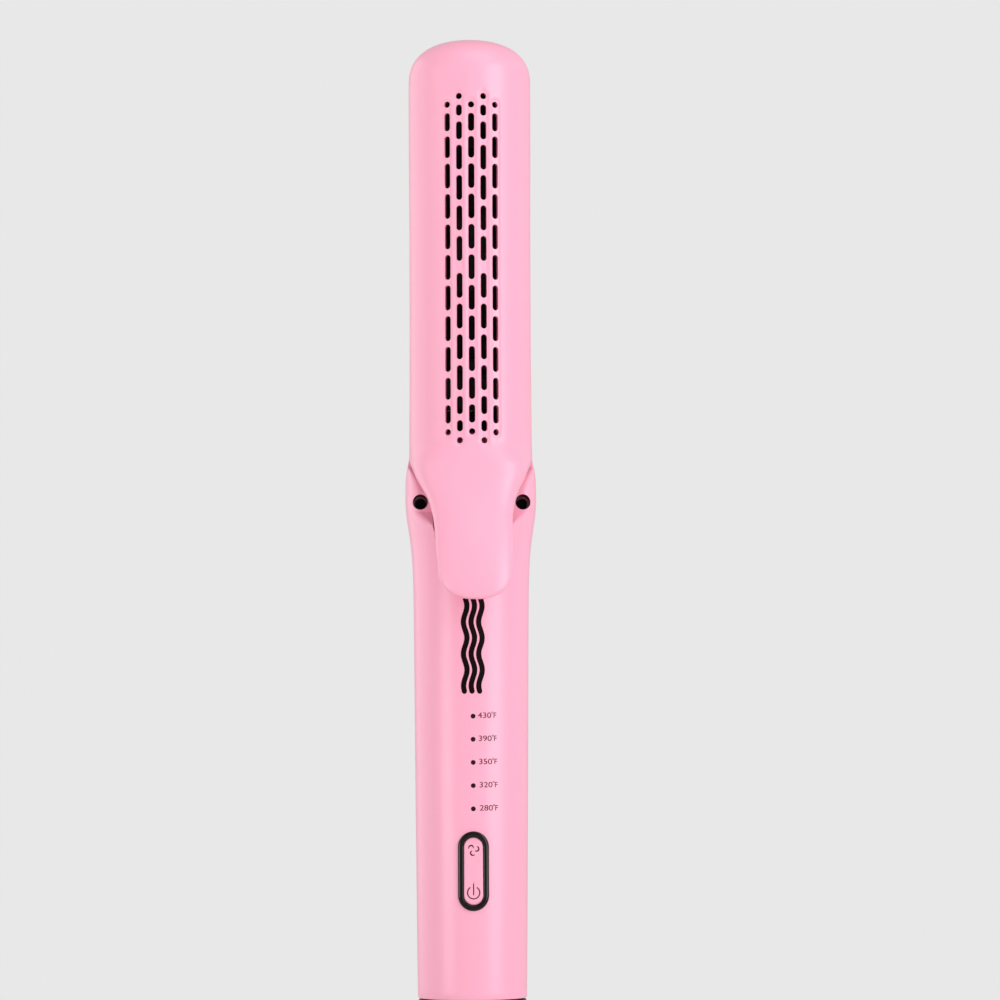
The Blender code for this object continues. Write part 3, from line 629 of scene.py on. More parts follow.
class HalfShell(Mesher):
    """One vented half of the barrel, drawn facing -Y.

    Rows run from the dome's apex down; columns run from the -X edge to the +X edge.
    """

    def __init__(self, stations, is_jaw, vent_middle):
        super().__init__()
        self.is_jaw = is_jaw
        self.section = section_curve(stations, is_jaw)
        self.vents, self.strips = vent_layout(vent_middle)
        self.outer, self.inner, self.heights = [], [], []
        self.add_rows()
        low = 11.0 if is_jaw else BARREL_BOTTOM + 0.22
        self.top_row = next(i for i, z in enumerate(self.heights) if z <= WINDOW_TOP)
        self.low_row = max(i for i, z in enumerate(self.heights) if z >= low - 1e-6)
        self.grid(self.outer, skip=self.in_window)
        self.grid(self.inner, flip=True, skip=self.in_window)
        ends = [self.add_lip(-1, 0), self.add_lip(1, COLUMNS)]
        if not is_jaw:
            self.grid([self.outer[-1], self.inner[-1]])
            for end in ends:
                self.cap(end)
        self.add_window()

    def in_window(self, i, j):
        return self.top_row <= i < self.low_row and WINDOW_LEFT <= j < WINDOW_RIGHT

    def lean(self, z):
        return float(lever_lean(z)) if self.is_jaw and z < LEAN_TOP else 0.0

    def outer_point(self, angle, z, depth=0.0):
        width, front, edge, squareness, *_ = self.section(z)
        across, ahead = superellipse(angle, squareness)
        x = width * across + self.lean(z)
        y = -(edge + (front - edge) * ahead)
        if depth:
            radius = math.hypot(x, y)
            x, y = x * (radius - depth) / radius, y * (radius - depth) / radius
        return (x, y, z)

    def inner_point(self, angle, z):
        width, front, edge, squareness, wall, inset, recess = self.section(z)
        across, ahead = superellipse(angle, squareness)
        edge -= recess
        y = -(edge + max(0.0, front - wall - edge) * ahead)
        return ((width - inset) * across + self.lean(z), y, z)

    def wall_heights(self):
        heights = [h for h in np.arange(DOME_START, 17.0, -2.6) if h > 17.6] + [17.0]
        if self.is_jaw:
            heights += list(np.arange(16.4, LEVER_ROUND + 0.3, -0.7))
            drop = LEVER_TIP - LEVER_ROUND
            heights += [LEVER_ROUND + drop * math.sin(math.radians(90 * i / 18)) for i in range(19)]
        else:
            heights += [16.0, 15.0, 14.2] + [BARREL_BOTTOM + rise for rise in (0.22, 0.08, 0.0)]
        return sorted(set(round(float(h), 5) for h in heights), reverse=True)

    def dome_row(self, angle, inset):
        """Points of a dome row, and its height; inset is 0 for the outer skin."""
        z = DOME_START + (DOME_H - inset) * math.sin(angle) ** (2 / DOME_POWER)
        radius = (BARREL_R - inset) * max(0.0, math.cos(angle)) ** (2 / DOME_POWER)
        depth = max(0.0, radius - EDGE_DEPTH)
        points = [
            (radius * math.sin(a), -(EDGE_DEPTH + depth * max(0, math.cos(a))), z) for a in ANGLES
        ]
        return self.add_row(points), z

    def add_rows(self):
        for i in range(DOME_ROWS, 0, -1):
            angle = math.radians(90 * i / DOME_ROWS)
            row, z = self.dome_row(angle, 0.0)
            self.outer.append(row)
            self.inner.append(self.dome_row(angle, WALL)[0])
            self.heights.append(z)
        for z in self.wall_heights():
            inset = 0.0 if self.is_jaw else end_inset(z, BARREL_BOTTOM)
            self.outer.append(self.add_row(self.outer_point(a, z, inset) for a in ANGLES))
            self.inner.append(self.add_row(self.inner_point(a, z) for a in ANGLES))
            self.heights.append(z)

    def add_lip(self, side, column):
        """A rounded lip along one long edge; gives its lowest row."""
        outer = [np.array(self.points[row[column]]) for row in self.outer]
        inner = [np.array(self.points[row[column]]) for row in self.inner]
        middle = [(a + b) / 2 for a, b in zip(outer, inner)]
        strip = []
        for i, z in enumerate(self.heights):
            tangent = middle[min(i + 1, len(middle) - 1)] - middle[max(i - 1, 0)]
            across = (outer[i] - inner[i]) / 2
            outward = np.cross(tangent, across) * side
            size = np.linalg.norm(outward)
            outward = outward / size if size > 1e-9 else np.array([0, 1.0, 0])
            half = np.linalg.norm(across)
            # down the lever the lip swells from a slight bulge to a full round
            full = float(smooth01((8.0 - z) / 14.0)) if self.is_jaw else 0.0
            bulge = min(LIP * (1 - full) + min(1.1, half) * full, half)
            power = 2 / (5.0 * (1 - full) + 2.0 * full)
            line = [self.outer[i][column]]
            for k in range(1, LIP_STEPS):
                a = math.pi * k / LIP_STEPS
                sideways = math.copysign(abs(math.cos(a)) ** power, math.cos(a))
                rise = bulge * math.sin(a) ** power
                line.append(self.add(middle[i] + across * sideways + outward * rise))
            line.append(self.inner[i][column])
            strip.append(line)
        self.grid(strip, flip=side > 0)
        return strip[-1]

    def recess(self, u, z):
        distance = pills_distance(u, z, self.strips, STRIP_R)
        return STRIP_DEPTH * (1 - smooth01((distance + STRIP_EDGE) / (2 * STRIP_EDGE)))

    def add_window(self):
        """The vented window: one flat triangulation in (arc length, height) for both skins."""
        points, skin_ids, edges = [], [], []
        top, low, left, right = self.top_row, self.low_row, WINDOW_LEFT, WINDOW_RIGHT

        def column_u(j):
            return math.degrees(ANGLES[j]) * ARC_PER_DEGREE

        def angle_at(u):
            return u / ARC_PER_DEGREE * math.pi / 180

        def put(u, z, ids=None):
            points.append((u, z))
            skin_ids.append(ids)
            return len(points) - 1

        def put_loop(loop):
            edges.extend(zip(loop, loop[1:] + loop[:1]))
            return loop

        def grown_pill(pill, radius, grow, end_steps):
            u, z, half_length = pill
            return pill_loop(u, z, half_length + grow, radius + grow, end_steps, 1.0)

        border = [(top, j) for j in range(left, right + 1)]
        border += [(i, right) for i in range(top + 1, low + 1)]
        border += [(low, j) for j in range(right - 1, left - 1, -1)]
        border += [(i, left) for i in range(low - 1, top, -1)]
        put_loop([
            put(column_u(j), self.heights[i], (self.outer[i][j], self.inner[i][j]))
            for i, j in border
        ])
        for pill in self.strips:
            for grow in (STRIP_EDGE, -STRIP_EDGE):
                put_loop([put(u, z) for u, z in grown_pill(pill, STRIP_R, grow, 12)])
        vent_loops = [
            put_loop([put(u, z) for u, z in grown_pill(pill, VENT_R, VENT_FILLET, 8)])
            for pill in self.vents
        ]

        # filling points, kept clear of the outlines
        grid_u, grid_z = np.meshgrid(
            np.array([column_u(j) for j in range(left + 1, right)]),
            np.arange(self.heights[low] + 1.0, self.heights[top] - 0.6, 1.3),
            indexing="ij",
        )
        grid_u, grid_z = grid_u.ravel(), grid_z.ravel()
        strip_gap = np.abs(pills_distance(grid_u, grid_z, self.strips, STRIP_R))
        vent_gap = pills_distance(grid_u, grid_z, self.vents, VENT_R)
        keep = (strip_gap > STRIP_EDGE + 0.16) & (vent_gap > VENT_FILLET + 0.12)
        for u, z in zip(grid_u[keep], grid_z[keep]):
            put(float(u), float(z))

        flat = [Vector(point) for point in points]
        found, _, triangles, sources, *_ = geometry.delaunay_2d_cdt(flat, edges, [], 0, 1e-5, True)
        found = np.array([(point.x, point.y) for point in found])
        depths = self.recess(found[:, 0], found[:, 1])
        outer_ids, inner_ids, found_at = [], [], {}
        for k, (u, z) in enumerate(found):
            shared = [skin_ids[s] for s in sources[k] if skin_ids[s] is not None]
            if shared:
                outer_id, inner_id = shared[0]
            else:
                outer_id = self.add(self.outer_point(angle_at(u), z, depths[k]))
                inner_id = self.add(self.inner_point(angle_at(u), z))
            outer_ids.append(outer_id)
            inner_ids.append(inner_id)
            found_at.update((s, k) for s in sources[k])
        triangles = np.array([t for t in triangles if len(t) == 3])
        centre = found[triangles].mean(axis=1)
        solid = pills_distance(centre[:, 0], centre[:, 1], self.vents, VENT_R) >= VENT_FILLET - 1e-4
        for a, b, c in triangles[solid]:
            self.faces.append((outer_ids[a], outer_ids[c], outer_ids[b]))
            self.faces.append((inner_ids[a], inner_ids[b], inner_ids[c]))

        # rounded mouths and walls of the vents
        for pill, loop in zip(self.vents, vent_loops):
            rings = [[outer_ids[found_at[s]] for s in loop]]
            for k in range(1, 5):
                a = math.radians(90 * k / 4)
                grow = VENT_FILLET * (1 - math.sin(a))
                depth = STRIP_DEPTH + VENT_FILLET * (1 - math.cos(a))
                outline = grown_pill(pill, VENT_R, grow, 8)
                rings.append(self.add_row(
                    self.outer_point(angle_at(u), z, depth) for u, z in outline
                ))
            rings.append([inner_ids[found_at[s]] for s in loop])
            self.grid(rings, close=True)

    def normals(self, points):
        """Normals of the round outer skin, away from the strips' edges."""
        turn = np.array([1.0, 1.0, 1.0] if self.is_jaw else [-1.0, -1.0, 1.0])
        x, y, z = (points * turn).T
        radius = np.hypot(x, y)
        safe = np.maximum(radius, 1e-6)
        exact = np.stack([x / safe, y / safe, np.zeros(len(x))], 1)
        u = np.degrees(np.arctan2(x, -y)) * ARC_PER_DEGREE
        gap = np.abs(pills_distance(u, z, self.strips, STRIP_R))
        mask = (z > 18.0) & (z < DOME_START - 0.5) & (y < -1.0)
        mask &= (radius > BARREL_R - 0.2 - STRIP_DEPTH) & (gap > STRIP_EDGE + 0.03)
        return mask, exact * turn


def half_shell(node, body, stations, is_jaw, vent_middle):
    shell = HalfShell(stations, is_jaw, vent_middle)
    turn = 0.0 if is_jaw else math.pi
    obj = shell.make(node + "_fine", body, PINK, turn_z=turn, normal=shell.normals)
    stand_in(obj, node)


half_shell("clamp_shell", CLAMP, JAW, True, VENT_MID_FRONT)
half_shell("barrel_rear_shell", ROOT, REAR, False, VENT_MID_REAR)


# ------------------------------------------------------------------ modelling helpers
def baked_mesh(obj):
    """The mesh of an object as evaluated."""
    bpy.context.view_layer.update()
    graph = bpy.context.evaluated_depsgraph_get()
    return bpy.data.meshes.new_from_object(obj.evaluated_get(graph))


def temp_object(solid):
    bmesh.ops.recalc_face_normals(solid, faces=solid.faces)
    mesh = bpy.data.meshes.new("tool")
    solid.to_mesh(mesh)
    solid.free()
    obj = bpy.data.objects.new("tool", mesh)
    bpy.context.scene.collection.objects.link(obj)
    return obj


def combine(obj, solid, operation="DIFFERENCE"):
    tool = temp_object(solid)
    step = obj.modifiers.new("cut", "BOOLEAN")
    step.operation = operation
    step.solver = "EXACT"
    step.object = tool
    mesh = baked_mesh(obj)
    obj.modifiers.clear()
    obj.data = mesh
    bpy.data.objects.remove(tool, do_unlink=True)


def rod(axis, middle, length, radius, segments=48):
    """A cylinder along an axis."""
    solid = bmesh.new()
    bmesh.ops.create_cone(
        solid, cap_ends=True, segments=segments, radius1=radius * MM, radius2=radius * MM,
        depth=length * MM,
    )
    turn = {
        "Z": Matrix.Identity(4),
        "Y": Matrix.Rotation(math.radians(-90), 4, "X"),
        "X": Matrix.Rotation(math.radians(90), 4, "Y"),
    }[axis]
    place = Matrix.Translation(world(*middle)) @ turn
    bmesh.ops.transform(solid, matrix=place, verts=solid.verts)
    return solid


def loft(rings):
    """A solid through rings of points, closed at both ends."""
    solid = bmesh.new()
    rings = [[solid.verts.new(world(*point)) for point in ring] for ring in rings]
    for low, high in zip(rings, rings[1:]):
        for k in range(len(low)):
            after = (k + 1) % len(low)
            solid.faces.new((low[k], low[after], high[after], high[k]))
    solid.faces.new(rings[0])
    solid.faces.new(rings[-1])
    return solid


def circle(x, z, radius, segments):
    """Points (x, z) round a circle."""
    angles = [math.tau * k / segments for k in range(segments)]
    return [(x + radius * math.cos(a), z + radius * math.sin(a)) for a in angles]


def lathe(name, body, mat, profile, segments):
    """A closed profile of (radius, height) turned round Z."""
    part = Mesher()
    columns = []
    for k in range(segments):
        a = math.tau * k / segments
        column = part.add_row((r * math.cos(a), r * math.sin(a), z) for r, z in profile)
        columns.append(column + column[:1])
    part.grid(columns + columns[:1])
    return part.make(name, body, mat, sharp=40.0)


def rounded(profile, radii, steps=5):
    """The profile with corners replaced by arcs; corners past the end of radii stay sharp."""
    points = []
    count = len(profile)
    for i, corner in enumerate(profile):
        radius = radii[i] if i < len(radii) else 0.0
        corner = np.array(corner, float)
        if radius <= 0:
            points.append(tuple(corner))
            continue
        back = np.array(profile[i - 1], float) - corner
        ahead = np.array(profile[(i + 1) % count], float) - corner
        back_size, ahead_size = np.linalg.norm(back), np.linalg.norm(ahead)
        back, ahead = back / back_size, ahead / ahead_size
        half = math.acos(max(-1, min(1, float(back @ ahead)))) / 2
        if half < 0.05 or half > math.pi / 2 - 0.02:
            points.append(tuple(corner))
            continue
        cut = min(radius / math.tan(half), 0.48 * back_size, 0.48 * ahead_size)
        radius = cut * math.tan(half)
        inward = (back + ahead) / np.linalg.norm(back + ahead)
        centre = corner + inward * (radius / math.sin(half))
        start, end = corner + back * cut - centre, corner + ahead * cut - centre
        first, last = math.atan2(start[1], start[0]), math.atan2(end[1], end[0])
        sweep = (last - first + math.pi) % math.tau - math.pi
        for k in range(steps + 1):
            a = first + sweep * k / steps
            points.append(tuple(centre + radius * np.array([math.cos(a), math.sin(a)])))
    return points


# ------------------------------------------------------------------ front handle shell
# Two ears stand beside an open slot for the jaw's lever.
EAR_R, EAR_FOOT = 9.0, -8.9
SLOT_X, SLOT_LOW, SLOT_ROUND = 9.4, -10.5, 0.5
SHOULDER_TOP = -3.0
SHOULDER_Z, SHOULDER_DEPTH, SHOULDER_SLOPE = -3.23, 8.4, 1.124  # a point on it, and its slope
POCKET_X = 10.1
POCKET = [(-12.0, 20.0), (-9.6, 13.6), (-8.0, 12.2), (-6.0, 7.5), (-2.5, 6.5)]  # height, depth
BACK, RIM_DEPTH = 0.15, 0.38  # depths of the back plane and of the outer skin's last points
WELL_X, WELL_Z, WELL_R, WELL_FLOOR = 13.3, -0.72, 1.98, -1.7
FRONT_COLUMNS = [
    0.0, 1.5, 3.0, 4.5, 6.0, 7.2, 8.2, 9.0, SLOT_X,
    9.43, 9.5, 9.6, 9.72, 9.85, 10.0, 10.15, 10.35, 10.6,
]
FRONT_ARC_STEPS, SLOT_STEPS = 44, 6


def ear_depth(z):
    """A cylinder about the hinge axis, then the sloping shoulder under it."""
    z = np.asarray(z, float)
    ear = np.sqrt(np.maximum(EAR_R**2 - np.clip(z, EAR_FOOT, 8.999) ** 2, 0.0))
    shoulder = SHOULDER_DEPTH + (SHOULDER_Z - z) * SHOULDER_SLOPE
    below = np.maximum(shoulder, np.where(z > EAR_FOOT, ear, 0.0))
    return np.where(z > SHOULDER_TOP, ear, below)


def front_depth(x, z):
    """How far the front skin stands in front of the plane y = 0."""
    x, z = np.abs(np.asarray(x, float)), np.asarray(z, float)
    radius = handle_radius(z)
    full = np.sqrt(np.maximum(radius * radius - x * x, 0.0))
    ear = ear_depth(z)
    in_pocket = smooth01((POCKET_X + 0.05 - x) / 0.4) * smooth01((-1.8 - z) / 1.2)
    pocket = np.interp(z, *zip(*POCKET))
    limit = ear * (1 - in_pocket) + np.minimum(ear, pocket) * in_pocket
    near = smooth01((z + 24.0) / 6.0)
    cut = soft_min(full, limit, 0.5 + 1.3 * smooth01((x - 10.4) / 1.6))
    depth = full * (1 - near) + cut * near
    # round the edge along the slot
    away = np.hypot(np.maximum(x - SLOT_X, 0.0), np.maximum(SLOT_LOW - z, 0.0))
    inside = np.clip(SLOT_ROUND - away, 0.0, SLOT_ROUND)
    drop = SLOT_ROUND - np.sqrt(SLOT_ROUND**2 - inside**2)
    return depth - np.minimum(drop, np.maximum(depth - 0.35, 0.0))


def front_heights():
    heights = [HANDLE_BOTTOM, HANDLE_BOTTOM + 0.08, HANDLE_BOTTOM + 0.25]
    for start, stop, step in (
        (HANDLE_BOTTOM + 2.0, -28.0, 2.0), (-27.5, -18.3, 0.75), (-18.0, -11.2, 0.6),
        (SLOT_LOW + 0.3, 3.0, 0.35),
    ):
        heights += list(np.arange(start, stop, step))
    heights += [SLOT_LOW + offset for offset in (-0.5, -0.35, -0.2, -0.1, -0.03, 0.0)]
    heights += [EAR_R * math.sin(math.radians(a)) for a in np.linspace(20.5, 87.6, 34)]
    return sorted(set(round(float(z), 5) for z in heights))


def front_row(z):
    """Points (x, depth) from the middle out to the rim and round to the back plane."""
    radius = float(handle_radius(z))
    start = math.asin(FRONT_COLUMNS[-1] / radius)
    stop = math.acos(RIM_DEPTH / radius)
    row = [(x, float(front_depth(x, z))) for x in FRONT_COLUMNS]
    for k in range(1, FRONT_ARC_STEPS + 1):
        x = radius * math.sin(start + (stop - start) * k / FRONT_ARC_STEPS)
        row.append((x, max(RIM_DEPTH, float(front_depth(x, z)))))
    rim = row[-1][0]
    row += [(rim - 0.03, 0.26), (rim - 0.10, 0.19), (rim - 0.22, BACK)]
    inset = end_inset(z, HANDLE_BOTTOM)
    if inset:
        scale = (radius - inset) / radius
        row = [(x * scale, BACK if depth == BACK else depth * scale) for x, depth in row]
    return row


def front_solid():
    """The front half of the handle as a full solid, with the slot open at its top."""
    solid = bmesh.new()
    heights = front_heights()
    rows = [front_row(z) for z in heights]
    first = heights.index(SLOT_LOW)
    slot = FRONT_COLUMNS.index(SLOT_X)
    made = {}

    def vert(x, y, z):
        key = (round(x, 5), round(y, 5), round(z, 5))
        if key not in made:
            made[key] = solid.verts.new(world(*key))
        return made[key]

    def face(*verts):
        verts = list(dict.fromkeys(verts))
        if len(verts) > 2:
            # cells that share rounded corners can repeat a face that is already there
            try:
                solid.faces.new(verts)
            except ValueError:
                pass

    def quads(grid, skip=lambda i, j: False):
        for i, (low, high) in enumerate(zip(grid, grid[1:])):
            for j in range(len(low) - 1):
                if not skip(i, j):
                    face(low[j], low[j + 1], high[j + 1], high[j])

    def back_line(x, depth, z):
        """Verts from the skin straight back to the back plane."""
        return [
            vert(x, -(depth + (BACK - depth) * k / SLOT_STEPS), z) for k in range(SLOT_STEPS + 1)
        ]

    for side in (-1, 1):
        grid = [[vert(side * x, -y, z) for x, y in row] for z, row in zip(heights, rows)]
        quads(grid, skip=lambda i, j: i >= first and j < slot)
        # side wall of the slot, then its floor
        walls = [
            back_line(side * SLOT_X, rows[i][slot][1], heights[i])
            for i in range(first, len(heights))
        ]
        quads(walls)
        quads([
            back_line(side * x, rows[first][j][1], SLOT_LOW)
            for j, x in enumerate(FRONT_COLUMNS[: slot + 1])
        ])
        # back plane beside the slot, and the top of the ear
        for i in range(len(walls) - 1):
            face(walls[i][-1], grid[first + i][-1], grid[first + i + 1][-1], walls[i + 1][-1])
        face(*grid[-1][slot:], *reversed(walls[-1]))
    # back plane below the slot, and the lower end
    left = [vert(-row[-1][0], -BACK, z) for z, row in zip(heights, rows)]
    right = [vert(row[-1][0], -BACK, z) for z, row in zip(heights, rows)]
    for i in range(first - 1):
        face(left[i], right[i], right[i + 1], left[i + 1])
    across = FRONT_COLUMNS[: slot + 1]
    floor_x = [-x for x in reversed(across)] + across[1:]
    floor_back = [vert(x, -BACK, SLOT_LOW) for x in floor_x]
    face(left[first - 1], right[first - 1], right[first], *reversed(floor_back), left[first])
    low = [vert(-x, -y, heights[0]) for x, y in reversed(rows[0])]
    face(*low, *[vert(x, -y, heights[0]) for x, y in rows[0][1:]])
    obj = temp_object(solid)
    if sum(p.area * p.center.dot(p.normal) for p in obj.data.polygons) < 0:
        obj.data.flip_normals()
    return obj


def hollow():
    """The space inside the front shell, open towards the back."""
    angles = [math.radians(-90 + 180 * k / 64) for k in range(65)]
    rings = []
    for z in (-131.0, -100.0, -60.0, -27.0, -16.03):
        radius = float(handle_radius(z)) - WALL
        arc = [(radius * math.sin(a), -radius * math.cos(a), z) for a in angles]
        rings.append([(-radius, 1.0, z)] + arc + [(radius, 1.0, z)])
    return loft(rings)


def front_normals(points):
    x, y, z = points.T
    e = 0.01
    depth = front_depth(x, z)
    slope_x = (front_depth(x + e, z) - front_depth(x - e, z)) / (2 * e)
    slope_z = (front_depth(x, z + e) - front_depth(x, z - e)) / (2 * e)
    exact = np.stack([-slope_x, -np.ones(len(points)), -slope_z], 1)
    exact /= np.linalg.norm(exact, axis=1)[:, None]
    mask = (np.abs(-y - depth) < 0.004) & (np.abs(x) < handle_radius(z) - 0.08)
    mask &= (z > HANDLE_BOTTOM + 0.5) & (z < 8.0)
    mask &= (z < SLOT_LOW - 0.7) | (np.abs(x) > POCKET_X + 0.3)
    return mask, exact


def handle_front():
    obj = front_solid()
    combine(obj, hollow())
    # a round well in each ear, with a narrower hole through its floor
    mouth = -float(front_depth(WELL_X, WELL_Z))
    well = [
        (mouth - 4.0, WELL_R + 0.9), (mouth - 0.35, WELL_R + 0.45),
        (mouth + 0.10, WELL_R), (WELL_FLOOR, WELL_R),
    ]  # y, radius
    for side in (-1, 1):
        rings = [
            [(x, y, z) for x, z in circle(side * WELL_X, WELL_Z, radius, 64)] for y, radius in well
        ]
        combine(obj, loft(rings))
        combine(obj, rod("Y", (side * WELL_X, 0.0, WELL_Z), 17.4, 1.35, segments=24))
    # the hinge bore, then the opening behind the key
    combine(obj, rod("X", (0, 0, 0), 2 * 11.3, 2.2, segments=40))
    opening = pill_loop(0.0, BUTTON_Z, 9.75, 3.6, 32, 1.5)
    combine(obj, loft([[(x, y, z) for x, z in opening] for y in (-20.0, -9.0)]))
    mesh = obj.data
    bpy.data.objects.remove(obj, do_unlink=True)
    obj = finish_mesh(
        mesh, "handle_front_shell_fine", ROOT, PINK, sharp=30.0, normal=front_normals
    )
    # the side walls of both screw wells take the dark maroon: painted shade, not a colour of the
    # plastic
    mesh.materials.append(WELL_PAINTED_SHADE)
    for polygon in mesh.polygons:
        x, y, z = polygon.center * 1000.0
        in_well = math.hypot(abs(x) - WELL_X, z - HINGE_Z - WELL_Z) < WELL_R + 0.02
        if in_well and y < -0.5 and abs(polygon.normal.y) < 0.5:
            polygon.material_index = 1
    stand_in(obj, "handle_front_shell")


handle_front()


# ------------------------------------------------------------------ rear handle shell
def handle_rear():
    part = Mesher()
    top = 13.0
    heights = [HANDLE_BOTTOM, HANDLE_BOTTOM + 0.08, HANDLE_BOTTOM + 0.25]
    heights += list(np.arange(HANDLE_BOTTOM + 2.0, -20.0, 2.0))
    heights += list(np.arange(-19.0, top - 0.6, 1.0)) + [top - 0.3, top - 0.1, top]

    def arc(radius, z):
        stop = math.acos(RIM_DEPTH / radius)
        angles = [-stop + 2 * stop * k / COLUMNS for k in range(COLUMNS + 1)]
        return part.add_row((radius * math.sin(a), radius * math.cos(a), z) for a in angles)

    outer, inner = [], []
    for z in heights:
        radius = float(handle_radius(z))
        inset = end_inset(z, HANDLE_BOTTOM)
        if z > top - 0.2:
            inset = 0.25 if z >= top - 0.01 else 0.08
        outer.append(arc(radius - inset, z))
        inner.append(arc(radius - WALL, z))
    part.grid(outer)
    part.grid(inner, flip=True)
    # rounded long edges: inward step and forward step from either skin
    for column, side in ((0, -1), (COLUMNS, 1)):
        strip = []
        for out_row, in_row in zip(outer, inner):
            skin, lining = (np.array(part.points[row[column]]) for row in (out_row, in_row))
            line = [skin + (-side * x, -y, 0) for x, y in ((0.03, 0.12), (0.10, 0.20), (0.22, 0.23))]
            line += [lining + (side * x, -y, 0) for x, y in ((0.22, 0.23), (0.10, 0.20))]
            strip.append([out_row[column]] + part.add_row(line) + [in_row[column]])
        part.grid(strip, flip=side < 0)
        for end in (0, -1):
            part.cap(strip[end])
    for end in (0, -1):
        part.grid([outer[end], inner[end]])
    obj = part.make("handle_rear_shell_fine", ROOT, PINK, sharp=40.0)
    stand_in(obj, "handle_rear_shell")


handle_rear()


# ------------------------------------------------------------------ hinge knuckles of the jaw
def slab(name, body, mat, outline, x_low, x_high, bevel, steps=()):
    """An outline of (y, z) drawn out along X, combined with solids, then bevelled."""
    solid = bmesh.new()
    flat = solid.faces.new([solid.verts.new(world(x_low, y, z)) for y, z in outline])
    grown = bmesh.ops.extrude_face_region(solid, geom=[flat])["geom"]
    moved = [item for item in grown if isinstance(item, bmesh.types.BMVert)]
    bmesh.ops.translate(solid, vec=((x_high - x_low) * MM, 0, 0), verts=moved)
    obj = temp_object(solid)
    for other, operation in steps:
        combine(obj, other, operation)
    edge = obj.modifiers.new("edge", "BEVEL")
    edge.width = bevel * MM
    edge.segments = 3
    edge.limit_method = "ANGLE"
    edge.angle_limit = math.radians(40)
    mesh = baked_mesh(obj)
    bpy.data.objects.remove(obj, do_unlink=True)
    made = finish_mesh(mesh, name, body, mat, sharp=35.0)
    return made


# y, z
KNUCKLE = [
    (-2.0, 8.0), (-8.0, 12.2), (-14.6, 12.2), (-15.9, 8.0), (-17.4, 1.0), (-18.4, -2.5),
    (-8.0, -3.6), (-1.0, -3.6),
]
for side, tag in ((-1, "left"), (1, "right")):
    x_low, x_high = sorted((side * 5.6, side * 8.6))
    boss = rod("X", ((x_low + x_high) / 2, 0, 0), abs(x_high - x_low), 5.5)
    bore = rod("X", (0, 0, 0), 40, 3.2)
    slab(
        "jaw_knuckle_" + tag, CLAMP, PINK, KNUCKLE, x_low, x_high, bevel=0.3,
        steps=[(boss, "UNION"), (bore, "DIFFERENCE")],
    )

# ------------------------------------------------------------------ button ring and rocker
KEY_FACE = 14.42  # depth of the key's face in front of the plane y = 0


def on_handle(x, z, height):
    """A point at a height over the round front of the handle."""
    radius = float(handle_radius(z))
    return (x, -math.sqrt(max(radius * radius - x * x, 0.0)) - height, z)


def on_key(x, z, height):
    return (x, -(KEY_FACE + height), z)


def pill_sweep(part, low, high, section, lay):
    """Rings of points: a section of (inset, height) swept round the pill that fills a box."""
    half_width, half_height = (high[0] - low[0]) / 2, (high[2] - low[2]) / 2
    straight = half_height - half_width
    outline = pill_loop(0.0, BUTTON_Z, half_height, half_width, 40, 0.6)
    rings = []
    for inset, height in section:
        ring = []
        for x, z in outline:
            centre_z = BUTTON_Z + max(-straight, min(straight, z - BUTTON_Z))
            inner_x = x - x * inset / half_width
            inner_z = z - (z - centre_z) * inset / half_width
            ring.append(part.add(lay(inner_x, inner_z, height)))
        rings.append(ring)
    return rings


def button_ring():
    """A polished, rounded band laid on the round handle."""
    part = Mesher()
    band = 1.42
    section = []
    for k in range(15):
        a = math.pi * k / 14
        across = math.copysign(abs(math.cos(a)) ** 0.72, math.cos(a))
        section.append((band / 2 - band / 2 * across, 0.62 * math.sin(a) ** 0.72 - 0.08))
    section += [(band, -1.2), (band - 0.3, -2.2), (0.3, -2.2), (0.0, -0.6)]
    rings = pill_sweep(part, bezel_low, bezel_high, section, on_handle)
    part.grid(rings + rings[:1], close=True)
    stand_in(part.make("button_bezel_fine", ROOT, BLACK_GLOSS, sharp=60.0), "button_bezel")


def rocker_key():
    """The two-way key: a pill with a softly crowned face."""
    part = Mesher()
    section = [
        (0.0, -1.9), (0.0, -0.42), (0.02, -0.30), (0.09, -0.16), (0.2, -0.07),
        (0.38, -0.01), (0.7, 0.03), (1.2, 0.06), (1.8, 0.08), (2.3, 0.085),
    ]
    rings = pill_sweep(part, rocker_low, rocker_high, section, on_key)
    part.grid(rings, close=True)
    part.cap(rings[0])
    part.cap(rings[-1])
    obj = part.make("button_rocker_fine", ROCKER, PINK_KEY, sharp=70.0)
    stand_in(obj, "button_rocker")


button_ring()
rocker_key()


# ------------------------------------------------------------------ printed marks and lights
LED_X = (pipe_low[0] + pipe_high[0]) / 2
LED_TOP, LED_PITCH, LED_COUNT = pipe_high[2] - 2.0, 5.91, 5


def print_band(part, points, widths, lay=on_handle):
    """A flat printed band along (x, z) points, with thickness, laid on a surface."""
    left, right = [], []
    for i, (x, z) in enumerate(points):
        before, after = points[max(i - 1, 0)], points[min(i + 1, len(points) - 1)]
        along_x, along_z = after[0] - before[0], after[1] - before[1]
        size = math.hypot(along_x, along_z) or 1.0
        shift_x, shift_z = -along_z / size * widths[i] / 2, along_x / size * widths[i] / 2
        left.append((x + shift_x, z + shift_z))
        right.append((x - shift_x, z - shift_z))
    left_top, right_top, left_base, right_base = [
        part.add_row(lay(x, z, height) for x, z in line)
        for height in (0.03, -0.05)
        for line in (left, right)
    ]
    lines = [left_top, right_top, right_base, left_base, left_top]
    for pair in zip(lines, lines[1:]):
        part.grid(pair)
    part.cap((left_top[0], left_base[0], right_base[0], right_top[0]))
    part.cap((left_top[-1], right_top[-1], right_base[-1], left_base[-1]))


